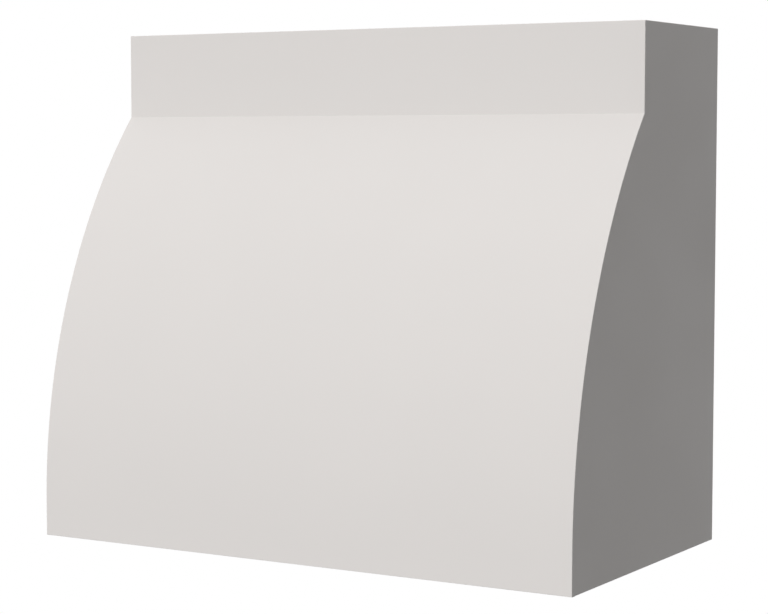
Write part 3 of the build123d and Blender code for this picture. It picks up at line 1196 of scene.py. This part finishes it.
@dataclass(frozen=True)
class Stain:
    """A mark in wood.

    Attributes:
        where: the name of the pattern that says where it shows.
        share: how strongly it shows, from 0 to 1.
        colour: of the mark.
    """

    where: str
    share: float
    colour: Triple


@dataclass(frozen=True)
class WoodFinish:
    """Bare wood, with paint where the spray reached it and a little dust on what looks up.

    Attributes:
        effects: the shared effects.
        paint: what was sprayed.
        pale: the lightest wood.
        stains: its marks, each laid over the one before.
        roughness: of the bare wood.
        fibre_height: how far its fibres stand up, in millimetres.
        pore_depth: how deep its pores are, in millimetres.
        dust: how much dust lies on it, from 0 to 1.
        dust_colour: of the dust.
        dust_roughness: of the dust.
    """

    effects: EffectKit
    paint: SatinPaint
    pale: Triple
    stains: tuple[Stain, ...]
    roughness: float = 0.62
    fibre_height: float = 0.025
    pore_depth: float = 0.03
    dust: float = 0.14
    dust_colour: Triple = (0.60, 0.55, 0.47)
    dust_roughness: float = 0.9

    def board(self, node: str, reach: Optional[SprayReach] = None) -> bpy.types.Material:
        """Makes the finish of one board.

        Args:
            node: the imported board's name, which also picks its own stretch of grain.
            reach: how far the paint reaches on it, or None where it is bare all over.
        Returns:
            The material.
        """
        g = MaterialGraph(f"{node}_finish")
        coat = self.bare(g, Lay.of(node), own_number(node))
        place = {"Point": g.point, "Normal": g.normal}
        if reach:
            cover = g.effect(self.effects.spray_coverage, {**place, **reach.given()})["Cover"]
            coat = g.over(cover, coat, self.paint.coat(g))
        dust = g.effect(self.effects.settled_dust, {**place, "Amount": self.dust})["Dust"]
        return g.show(g.over(dust, coat, Coat(self.dust_colour, self.dust_roughness, coat.height)))

    def bare(self, g: MaterialGraph, lay: Lay, seed: float) -> Coat:
        """Lays out the bare wood: its marks over its palest colour, with fibres up and pores down.

        Args:
            g: the material's graph.
            lay: how the board lies.
            seed: moves the grain, so that no two boards look alike.
        Returns:
            The coat.
        """
        patterns = self.patterns(g, lay, seed)
        colour = self.pale
        for stain in self.stains:
            colour = g.blend(patterns[stain.where] * stain.share, colour, stain.colour)
        relief = patterns["Fibre"] * self.fibre_height - patterns["Pore"] * self.pore_depth
        return Coat(colour, self.roughness, relief)

    def patterns(self, g: MaterialGraph, lay: Lay, seed: float) -> dict[str, Value]:
        """The wood's patterns by name, each from 0 to 1."""
        raise NotImplementedError


@dataclass(frozen=True)
class PlywoodFinish(WoodFinish):
    """Birch plywood: pale peeled faces, and thin crossed veneers on its edges.

    Attributes:
        plies: how many veneers it has.
        tone: how much its late wood, its broad bands and its fibres add to its tone.
    """

    pale: Triple = (0.80, 0.635, 0.43)
    stains: tuple[Stain, ...] = (
        Stain("Tone", 1.0, (0.46, 0.29, 0.15)),
        Stain("Pore", 0.3, (0.46, 0.29, 0.15)),
        Stain("Fleck", 0.3, (0.30, 0.16, 0.07)),
        Stain("End", 0.75, (0.36, 0.22, 0.115)),
        Stain("Glue", 0.7, (0.16, 0.085, 0.04)),
    )
    plies: float = 13.0
    tone: tuple[tuple[str, float], ...] = (("Ring", 0.38), ("Broad", 0.16), ("Fibre", 0.42))

    def patterns(self, g: MaterialGraph, lay: Lay, seed: float) -> dict[str, Value]:
        """Lays out the crossed veneers.

        Args:
            g: the material's graph.
            lay: how the board lies.
            seed: moves the grain.
        Returns:
            The patterns, by name.
        """
        values = {"Thickness": lay.thickness, "Plies": self.plies, "Seed": seed}
        wood = g.effect(self.effects.crossed_veneers, {**lay.given(g), **values})
        first, *others = (wood[name] * share for name, share in self.tone)
        return {**wood, "Tone": sum(others, start=first)}


@dataclass(frozen=True)
class BendingPlyFinish(PlywoodFinish):
    """Bending plywood: one thick reddish veneer with open pores shows on its inner face, and its
    grain runs across the bend."""

    pale: Triple = (0.64, 0.43, 0.26)
    stains: tuple[Stain, ...] = (
        Stain("Tone", 1.0, (0.32, 0.175, 0.09)),
        Stain("Pore", 0.6, (0.32, 0.175, 0.09)),
        Stain("Fleck", 0.6, (0.22, 0.12, 0.06)),
        Stain("End", 0.75, (0.25, 0.14, 0.07)),
    )
    plies: float = 1.0
    tone: tuple[tuple[str, float], ...] = (("Ring", 0.28), ("Broad", 0.16), ("Fibre", 0.42))


@dataclass(frozen=True)
class PoplarFinish(WoodFinish):
    """Planed poplar: cream sapwood, greenish heartwood and dark mineral streaks."""

    pale: Triple = (0.67, 0.57, 0.37)
    stains: tuple[Stain, ...] = (
        Stain("Heartwood", 0.55, (0.38, 0.38, 0.21)),
        Stain("Ring", 0.5, (0.46, 0.36, 0.19)),
        Stain("Fibre", 0.3, (0.46, 0.36, 0.19)),
        Stain("Streak", 0.35, (0.20, 0.17, 0.14)),
        Stain("End", 0.7, (0.34, 0.27, 0.15)),
    )

    def patterns(self, g: MaterialGraph, lay: Lay, seed: float) -> dict[str, Value]:
        """Lays out the sawn wood."""
        return g.effect(self.effects.sawn_log, {**lay.given(g), "Seed": seed})


@dataclass(frozen=True)
class ZincPlate:
    """Zinc-plated steel: bright, with a patchy bluish and yellowish sheen, and finely scratched.

    Attributes:
        silver: its own colour.
        blue: the bluish patches.
        yellow: the yellowish patches.
        sheen: the noise that both follow.
        bluish: where in it the blue shows.
        yellowish: where the yellow shows.
        smooth: roughness where it isn't scratched.
        rough: roughness where it is.
        wear: the noise that the scratches follow.
        worn: where in it they show.
        scratch: their depth, in millimetres.
    """

    silver: Triple = (0.64, 0.63, 0.60)
    blue: Triple = (0.52, 0.56, 0.62)
    yellow: Triple = (0.66, 0.58, 0.42)
    sheen: Lumps = Lumps(210.0, 3.0, 0.6)
    bluish: Fade = Fade(0.5, 0.72)
    yellowish: Fade = Fade(0.45, 0.25)
    smooth: float = 0.26
    rough: float = 0.44
    wear: Lumps = Lumps(1900.0)
    worn: Fade = Fade(0.25, 0.75)
    scratch: float = 0.01

    def material(self) -> bpy.types.Material:
        """Makes the finish of the screws.

        Returns:
            The material.
        """
        g = MaterialGraph("zinc_plate")
        sheen, wear = g.noise(g.point, self.sheen), g.noise(g.point, self.wear)
        colour = g.blend(g.fade(sheen, self.bluish), self.silver, self.blue)
        colour = g.blend(g.fade(sheen, self.yellowish), colour, self.yellow)
        roughness = g.between(g.fade(wear, self.worn), self.smooth, self.rough)
        return g.show(Coat(colour, roughness, wear * self.scratch), metallic=1.0)


@dataclass(frozen=True)
class DriedGlue:
    """Yellow wood glue that was squeezed out and left to dry, glossier where it is thin.

    Attributes:
        thin: its colour where it is thin.
        thick: its colour where it is thick.
        glossy: roughness where it is thin.
        dull: roughness where it is thick.
        body: where it is thick.
        wrinkles: the noise of its skin.
        wrinkle: height of the wrinkles, in millimetres.
    """

    thin: Triple = (0.66, 0.50, 0.24)
    thick: Triple = (0.47, 0.30, 0.10)
    glossy: float = 0.24
    dull: float = 0.4
    body: Patches = Patches(Lumps(90.0, 3.0))
    wrinkles: Lumps = Lumps(700.0)
    wrinkle: float = 0.06

    def material(self) -> bpy.types.Material:
        """Makes the finish of the glue beads.

        Returns:
            The material.
        """
        g = MaterialGraph("dried_glue")
        body = g.patches(g.point, self.body)
        colour, roughness = g.blend(body, self.thin, self.thick), g.between(body, self.glossy, self.dull)
        return g.show(Coat(colour, roughness, g.noise(g.point, self.wrinkles) * self.wrinkle))


@dataclass(frozen=True)
class Finishes:
    """Every finish that the cover uses: three woods, and three materials that are the same all over.

    Attributes:
        birch: makes the finish of a birch plywood board.
        bending: makes the finish of a bending plywood board.
        poplar: makes the finish of a poplar board.
        satin_paint: the paint.
        zinc_plate: the screws' finish.
        dried_glue: the glue beads' finish.
    """

    birch: PlywoodFinish
    bending: BendingPlyFinish
    poplar: PoplarFinish
    satin_paint: bpy.types.Material
    zinc_plate: bpy.types.Material
    dried_glue: bpy.types.Material

    @classmethod
    def make(cls) -> "Finishes":
        """Builds the shared effects and the finishes.

        Returns:
            The finishes.
        """
        effects = EffectKit.make()
        paint = SatinPaint(effects)
        return cls(
            birch=PlywoodFinish(effects, paint),
            bending=BendingPlyFinish(effects, paint),
            poplar=PoplarFinish(effects, paint),
            satin_paint=paint.material(),
            zinc_plate=ZincPlate().material(),
            dried_glue=DriedGlue().material(),
        )


# ---- sub-assemblies ----

RIBS = ("rib_outer_left", "rib_inner_left", "rib_inner_right", "rib_outer_right")
DOUBLERS = {Side.LEFT: "side_doubler_left", Side.RIGHT: "side_doubler_right"}


def placed(name: str, data: bpy.types.ID) -> bpy.types.Object:
    """Puts a new object in the scene, at the origin.

    Args:
        name: the object's name.
        data: its mesh, lamp or camera.
    Returns:
        The object.
    """
    made = bpy.data.objects.new(name, data)
    bpy.context.scene.collection.objects.link(made)
    return made


@dataclass
class SubAssembly:
    """A part of the cover that is put together on its own.

    Attributes:
        sizes: the cover's main sizes.
        finishes: every finish that the cover uses.
    """

    sizes: CoverSizes
    finishes: Finishes

    def build(self) -> list[bpy.types.Object]:
        """Makes the pieces and dresses them."""
        raise NotImplementedError

    def piece(self, name: str, mesh: bpy.types.Mesh, material: bpy.types.Material,
              slot: Optional[Slot] = None, body: Body = Body.COVER) -> bpy.types.Object:
        """Puts a new piece in the scene, at the origin.

        Args:
            name: the piece's name.
            mesh: its surface, in place.
            material: its finish.
            slot: the record's finish that goes with it, if any. It is not used.
            body: what it moves with.
        Returns:
            The piece.
        """
        made = placed(name, mesh)
        mesh.materials.append(material)
        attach(made, body.value)
        return made

    def stand_in(self, node: str, mesh: bpy.types.Mesh, material: bpy.types.Material,
                 slot: Slot, body: Body = Body.COVER) -> bpy.types.Object:
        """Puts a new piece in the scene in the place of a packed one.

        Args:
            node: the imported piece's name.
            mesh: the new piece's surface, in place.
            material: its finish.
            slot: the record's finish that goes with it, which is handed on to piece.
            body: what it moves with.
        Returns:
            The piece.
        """
        made = self.piece(f"{node}_finished", mesh, material, slot, body)
        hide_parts(node)
        return made

    def boards(self, nodes: Sequence[str], finish: WoodFinish, slot: Slot,
               reach: Optional[SprayReach] = None, body: Body = Body.COVER) -> list[bpy.types.Object]:
        """Smooth copies of packed boards, each with its own grain, and with paint where it reaches."""
        return [self.stand_in(node, merged_copy(node), finish.board(node, reach), slot, body)
                for node in nodes]


@dataclass
class PaintedShell(SubAssembly):
    """The pieces that are painted outside: the band, the bent facing and the two side panels.

    Attributes:
        easing: radius of the edges that are eased before painting.
    """

    easing: float = EASING

    def build(self) -> list[bpy.types.Object]:
        """Makes the shell's pieces and dresses them."""
        return [self._band(), self._facing(), *(self._side_panel(side) for side in Side)]

    def _band(self) -> bpy.types.Object:
        """The straight band: its front corners and its top edge are eased.

        Returns:
            The piece.
        """
        s, node = self.sizes, "front_band"
        z = rows_between(s.crease_z, s.height, 0, self.easing)
        drawn = drawn_in(z, 0, self.easing)
        stack = LevelStack(z, drawn - s.half_width, s.half_width - drawn, drawn - s.top_depth, -s.band_back,
                           Corners(front_right=self.easing, front_left=self.easing))
        reach = SprayReach(half_width=s.half_width, front=s.top_depth, top=s.height)
        return self.stand_in(node, stack.mesh(node, drawn), self.finishes.birch.board(node, reach),
                             Slot.PAINTED_WOOD)

    def _facing(self) -> bpy.types.Object:
        """The bent facing: its front follows the arc, and its sides and the foot are eased.

        Returns:
            The piece.
        """
        s, node = self.sizes, "curved_facing"
        z = rows_between(0, s.crease_z, self.easing, 0)
        drawn = drawn_in(z, self.easing, 0)
        stack = LevelStack(z, -s.half_width, s.half_width, drawn - s.front_depth(0, z),
                           -s.front_depth(s.facing, z),
                           Corners(front_right=self.easing, front_left=self.easing))
        return self.stand_in(node, stack.mesh(node, drawn), self.finishes.satin_paint, Slot.PAINTED_WOOD)

    def _side_panel(self, side: Side) -> bpy.types.Object:
        """A side panel, cut to the curve behind the skins: the rim of its outer face is eased.

        Args:
            side: which of the two.
        Returns:
            The piece.
        """
        s, node = self.sizes, f"side_panel_{side.value}"
        z = rows_between(0, s.height, self.easing, self.easing, (s.crease_z, s.crease_z + CREASE_STEP))
        drawn = drawn_in(z, self.easing, self.easing)
        if side is Side.RIGHT:
            limits, corners = (s.inner_half, s.half_width - drawn), Corners(back_right=self.easing)
        else:
            limits, corners = (drawn - s.half_width, -s.inner_half), Corners(back_left=self.easing)
        stack = LevelStack(z, *limits, -s.behind_skins(z), 0.0, corners)
        reach = SprayReach(half_width=s.half_width, top=s.height, rim=s.rim_z)
        return self.stand_in(node, stack.mesh(node, drawn), self.finishes.birch.board(node, reach),
                             Slot.PAINTED_WOOD)


@dataclass
class BentBacking(SubAssembly):
    """The bending plywood behind the facing, and the rail that backs its head at the crease."""

    def build(self) -> list[bpy.types.Object]:
        """Makes the backing and the crease rail and dresses them."""
        return [self._backing(), self._crease_rail()]

    def _backing(self) -> bpy.types.Object:
        """The backing: it follows the arc between the facing and the ribs.

        Returns:
            The piece.
        """
        s, node = self.sizes, "curved_backing"
        z = rows_between(0, s.crease_z, 0, 0)
        front, back = -s.front_depth(s.facing, z), -s.front_depth(s.skin, z)
        stack = LevelStack(z, -s.half_width, s.half_width, front, back)
        reach = SprayReach(half_width=s.half_width, rim=s.rim_z)
        return self.stand_in(node, stack.mesh(node), self.finishes.bending.board(node, reach),
                             Slot.BENDING_PLYWOOD)

    def _crease_rail(self) -> bpy.types.Object:
        """The crease rail: its front follows the skins up to the crease, then the band's back.

        Returns:
            The piece.
        """
        s, node = self.sizes, "crease_rail"
        z = rows_between(s.rail_low, s.rail_high, 0, 0, (s.crease_z, s.crease_z + CREASE_STEP))
        stack = LevelStack(z, -s.inner_half, s.inner_half, -s.behind_skins(z), -s.rail_back)
        return self.stand_in(node, stack.mesh(node), self.finishes.poplar.board(node), Slot.SOLID_POPLAR)


@dataclass
class Carcass(SubAssembly):
    """The ribs, doublers, rails and corner blocks behind the shell.

    Attributes:
        rails: the straight rails between the side panels.
        blocks: the glue blocks in the top front corners.
    """

    rails: tuple[str, ...] = ("top_front_rail", "bottom_front_rail", "lower_back_rail")
    blocks: tuple[str, ...] = ("corner_block_left", "corner_block_right")

    def build(self) -> list[bpy.types.Object]:
        """Makes smooth copies of the boards, and dresses the blocks as they are.

        Returns:
            The pieces.
        """
        birch = self.finishes.birch
        reach = SprayReach(top=self.sizes.height, rim=self.sizes.rim_z)
        return [
            *self.boards((*RIBS, *DOUBLERS.values()), birch, Slot.BIRCH_PLYWOOD),
            *self.boards(self.rails, birch, Slot.BIRCH_PLYWOOD, reach),
            *(self._block(node) for node in self.blocks),
        ]

    def _block(self, node: str) -> bpy.types.Object:
        """Gives a packed glue block its finish, and leaves its shape alone.

        Args:
            node: the block's name.
        Returns:
            The block.
        """
        block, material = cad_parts[node], self.finishes.poplar.board(node)
        if block.material_slots:
            block.material_slots[0].material = material
        else:
            block.data.materials.append(material)
        return block


@dataclass
class HangingCleats(SubAssembly):
    """The two halves of the French cleat and the rail in front of the upper one."""

    def build(self) -> list[bpy.types.Object]:
        """Makes smooth copies of the boards. The lower half of the cleat stays on the wall.

        Returns:
            The pieces.
        """
        birch, slot = self.finishes.birch, Slot.BIRCH_PLYWOOD
        return [
            *self.boards(["wall_cleat"], birch, slot, body=Body.WALL_MOUNT),
            *self.boards(["hanging_rail", "hood_cleat"], birch, slot),
        ]


@dataclass
class InsertBay(SubAssembly):
    """The recessed bottom panel, the ledgers that it hangs from and the runners on top of it.

    Attributes:
        ledgers: the strips round the inside of the shell.
        runners: the rails on edge that the ventilation insert is screwed to.
    """

    ledgers: tuple[str, ...] = ("ledger_left", "ledger_right", "ledger_front", "ledger_back")
    runners: tuple[str, ...] = ("insert_runner_front", "insert_runner_back")

    def build(self) -> list[bpy.types.Object]:
        """Makes smooth copies of the panel and of the strips that carry it.

        Returns:
            The pieces.
        """
        birch, reach = self.finishes.birch, SprayReach(rim=self.sizes.rim_z)
        return [
            *self.boards(["bottom_panel"], birch, Slot.PAINTED_PANEL, reach),
            *self.boards(self.ledgers, self.finishes.poplar, Slot.SOLID_POPLAR),
            *self.boards(self.runners, birch, Slot.BIRCH_PLYWOOD),
        ]


@dataclass
class ScrewSet(SubAssembly):
    """The screws of every joint.

    Attributes:
        groups: the screws of each kind of joint.
    """

    groups: tuple[str, ...] = ("pocket_screws", "cleat_screws", "ledger_screws", "bottom_panel_screws",
                               "insert_runner_screws")

    def build(self) -> list[bpy.types.Object]:
        """Makes smooth copies of the screws, one piece for each kind of joint."""
        zinc = self.finishes.zinc_plate
        return [self.stand_in(node, merged_copy(node), zinc, Slot.ZINC_SCREWS) for node in self.groups]


@dataclass
class GlueLines(SubAssembly):
    """Beads of squeezed-out glue where the ribs and doublers meet the backing.

    Attributes:
        radius: of a bead.
        around: how many points go round it.
        row_step: from one ring of points to the next.
        clear: how far it ends from the rail below it and from the crease rail above it.
        taper: how far from its ends it starts to get thinner.
        tip: how thick its ends are, as a share of its thickness.
        swells: length and share of each wave in its thickness.
        seed: of the waves' phases.
    """

    radius: float = 1.3 * MM
    around: int = 12
    row_step: float = 3 * MM
    clear: float = 4 * MM
    taper: float = 12 * MM
    tip: float = 0.1
    swells: tuple[tuple[float, float], ...] = ((0.31, 0.3), (0.083, 0.25), (0.027, 0.2))
    seed: int = 7

    def build(self) -> list[bpy.types.Object]:
        """Makes the beads along both sides of the ribs, and along the doublers.

        Returns:
            The pieces.
        """
        random = np.random.default_rng(self.seed)
        ribs = [corner.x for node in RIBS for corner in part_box(node)]
        doublers = [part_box(DOUBLERS[Side.LEFT])[1].x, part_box(DOUBLERS[Side.RIGHT])[0].x]
        return [self._beads("rib_glue_beads", ribs, random),
                self._beads("doubler_glue_beads", doublers, random)]

    def _beads(self, name: str, places: Sequence[float], random: np.random.Generator) -> bpy.types.Object:
        """One piece with a bead at each of several places, which are the x of the boards' faces."""
        mesh = skin_mesh(name, [self._bead(x, random) for x in places], math.pi)
        return self.piece(name, mesh, self.finishes.dried_glue)

    def _bead(self, x: float, random: np.random.Generator) -> np.ndarray:
        """One bead: a circle carried up the corner between a board and the backing's inner face.

        At height z the circle's middle is at the inner skin's depth, its plane is square to the
        arc, and its radius swells and shrinks as a sum of sine waves. Near the ends it falls as
        the square root of what is left of the way, down to a blunt tip.

        Args:
            x: where the board's face is.
            random: gives the waves their phases.
        Returns:
            Rings by points by 3.
        """
        s = self.sizes
        low, high = s.skirt_z + self.clear, s.rail_low - self.clear
        z = np.linspace(low, high, round((high - low) / self.row_step))[:, None]
        phases = random.uniform(0, 2 * np.pi, len(self.swells))
        waves = sum(share * np.sin(2 * np.pi * z / length + phase)
                    for (length, share), phase in zip(self.swells, phases))
        ends = np.clip(np.sqrt(np.minimum(z - low, high - z) / self.taper), self.tip, 1)
        radius = self.radius * (1 + waves) * ends
        sine = (z - s.skirt_z) / (s.arc_radius - s.skin)
        cosine = np.sqrt(1 - sine**2)
        angle = np.linspace(0, 2 * np.pi, self.around, endpoint=False)
        across, inward = np.cos(angle) * radius, np.sin(angle) * radius
        depth = s.front_depth(s.skin, z) - inward * cosine
        return np.stack([x + across, -depth, z - inward * sine], axis=-1)


# ---- studio ----


@dataclass(frozen=True)
class SoftLight:
    """Light from a wide dome on one side, an even glow all round, and a soft lamp behind.

    Attributes:
        toward: the direction of the middle of the dome, from the cover.
        dome: brightness of the dome.
        even: brightness of everything else.
        edge: how softly the dome ends, as a sine.
        dimmed: how much darker it is at the far left.
        dim_from: x of the directions where it starts to get darker.
        lamp_place: middle of the lamp that lights the open back.
        lamp_size: its side.
        lamp_power: in watts.
    """

    toward: Triple = (-0.7974, -0.3745, 0.4732)
    dome: float = 1.29
    even: float = 0.06
    edge: float = 0.12
    dimmed: float = 0.4
    dim_from: float = -0.45
    lamp_place: Triple = (-0.55, 2.7, 1.25)
    lamp_size: float = 1.6
    lamp_power: float = 42.0

    def build(self) -> None:
        """Adds the dome, which a camera or a mirror sees as plain white, and the lamp."""
        world = bpy.data.worlds.new("studio_dome")
        bpy.context.scene.world = world
        world.use_nodes = True
        g = Graph(world.node_tree)
        direction = g.value("TexCoord", {}, "Generated")
        toward = g.value("VectorMath", {0: direction, 1: self.toward}, "Value", operation="DOT_PRODUCT")
        inside = g.fade(toward, Fade(-self.edge, self.edge))
        dimmed = g.fade(g.split(direction)[0], Fade(-1.0, self.dim_from, 1 - self.dimmed))
        level = g.between(inside, self.even, self.dome) * dimmed
        light = g.value("Background", {"Color": level, "Strength": 1.0})
        white = g.value("Background", {"Color": rgba((1.0, 1.0, 1.0)), "Strength": 1.0})
        path = g.values("LightPath", {})
        seen = g.most(path["Is Camera Ray"], path["Is Glossy Ray"], path["Is Transmission Ray"])
        g.node("OutputWorld", {"Surface": g.value("MixShader", {0: seen, 1: light, 2: white})})
        self._lamp()

    def _lamp(self) -> None:
        """Adds the soft lamp behind, aimed at the open back. It reaches neither the front nor the right."""
        lamp = bpy.data.lights.new("back_softbox", "AREA")
        lamp.shape = "SQUARE"
        lamp.size = self.lamp_size
        lamp.energy = self.lamp_power
        holder = placed("back_softbox", lamp)
        place, middle = Vector(self.lamp_place), (CAD_BOX[0] + CAD_BOX[1]) / 2
        holder.location = place
        holder.rotation_euler = (middle - place).to_track_quat("-Z", "Y").to_euler()
        holder.visible_camera = False
        holder.visible_glossy = False


@dataclass(frozen=True)
class PaleFloor:
    """The studio floor, far below the cover, which hangs at its real height above it.

    Attributes:
        drop: from the cover's rim down to the floor.
        radius: of the floor, which fades out towards its edge.
        fade_from: radius where the fading starts.
        colour: of the floor.
        mottle: how much darker its darkest spots are, as a share.
        spots: where its paint is paler.
        rings: how many rings of points it has.
        spokes: how many points are in a ring.
    """

    drop: float = 1.68
    radius: float = 3.2
    fade_from: float = 1.5
    colour: Triple = (0.92, 0.92, 0.92)
    mottle: float = 0.01
    spots: Patches = Patches(Lumps(3.0, 3.0))
    rings: int = 24
    spokes: int = 96

    def build(self) -> None:
        """Adds the floor: rings of points at growing radii, from nothing, round its middle."""
        middle = ((CAD_BOX[0] + CAD_BOX[1]) / 2).xy.to_3d() - Vector((0, 0, self.drop))
        radii = np.linspace(0, self.radius, self.rings + 1)[1:, None]
        angle = np.linspace(0, 2 * np.pi, self.spokes, endpoint=False)
        x, y = radii * np.cos(angle), radii * np.sin(angle)
        index = np.arange(self.rings * self.spokes).reshape(self.rings, self.spokes)
        ahead = np.roll(index, -1, axis=1)
        walls = np.stack([index[:-1], index[1:], ahead[1:], ahead[:-1]], axis=-1).reshape(-1, 4)
        hub = np.stack([np.full(self.spokes, index.size), index[0], ahead[0]], axis=-1)
        mesh = bpy.data.meshes.new("pale_floor")
        around = np.stack([x, y, np.zeros_like(x)], axis=-1).reshape(-1, 3)
        points = np.concatenate([around, np.zeros((1, 3))]) + np.array(middle)
        mesh.from_pydata(points, [], walls.tolist() + hub.tolist())
        mesh.materials.append(self._paint(middle))
        floor = placed("pale_floor", mesh)
        floor.visible_diffuse = floor.visible_glossy = floor.visible_shadow = False

    def _paint(self, middle: Vector) -> bpy.types.Material:
        """Plain pale floor paint, which fades out at the edge and can't be seen from beneath.

        Args:
            middle: of the floor.
        Returns:
            The material.
        """
        g = MaterialGraph("pale_floor")
        colour = g.blend(g.patches(g.point, self.spots), shaded(self.colour, 1 - self.mottle), self.colour)
        paint = g.value("BsdfDiffuse", {"Color": colour})
        away = g.length(g.counted_from(tuple(middle), g.point))
        faded = g.fade(away, Fade(self.fade_from, self.radius))
        hidden = g.most(faded, g.value("NewGeometry", {}, "Backfacing"))
        clear = g.value("BsdfTransparent", {})
        return g.finish(g.value("MixShader", {0: hidden, 1: paint, 2: clear}))


@dataclass(frozen=True)
class PictureView:
    """The camera, at the photograph's viewing angle.

    Attributes:
        place: of the lens.
        turn: how far it looks to the left of the wall's normal, in degrees.
        tilt: how far it looks up, in degrees.
        sensor: width of the sensor in millimetres.
        lens: focal length in millimetres.
    """

    place: Triple = (1.99244, -3.60694, 0.71683)
    turn: float = 30.8192
    tilt: float = -4.3742
    sensor: float = 36.0
    lens: float = 100.518

    def build(self) -> None:
        """Adds the camera and makes it the scene's."""
        data = bpy.data.cameras.new("picture_view")
        data.sensor_width = self.sensor
        data.lens = self.lens
        camera = placed("picture_view", data)
        camera.location = self.place
        camera.rotation_euler = Euler((math.radians(90 + self.tilt), 0.0, math.radians(self.turn)))
        bpy.context.scene.camera = camera


def main() -> None:
    """Builds the cover, the studio and the camera."""
    logging.basicConfig(level=logging.INFO, format="%(message)s")
    bpy.context.scene.view_settings.view_transform = "Standard"
    sizes, finishes = CoverSizes.from_frame(), Finishes.make()
    for kind in (PaintedShell, BentBacking, Carcass, HangingCleats, InsertBay, ScrewSet, GlueLines):
        for piece in kind(sizes, finishes).build():
            faces, finish = len(piece.data.polygons), piece.active_material.name
            log.info("%s: %s, %d faces, %s", kind.__name__, piece.name, faces, finish)
    for prop in (SoftLight(), PaleFloor(), PictureView()):
        prop.build()


if __name__ == "__main__":
    main()
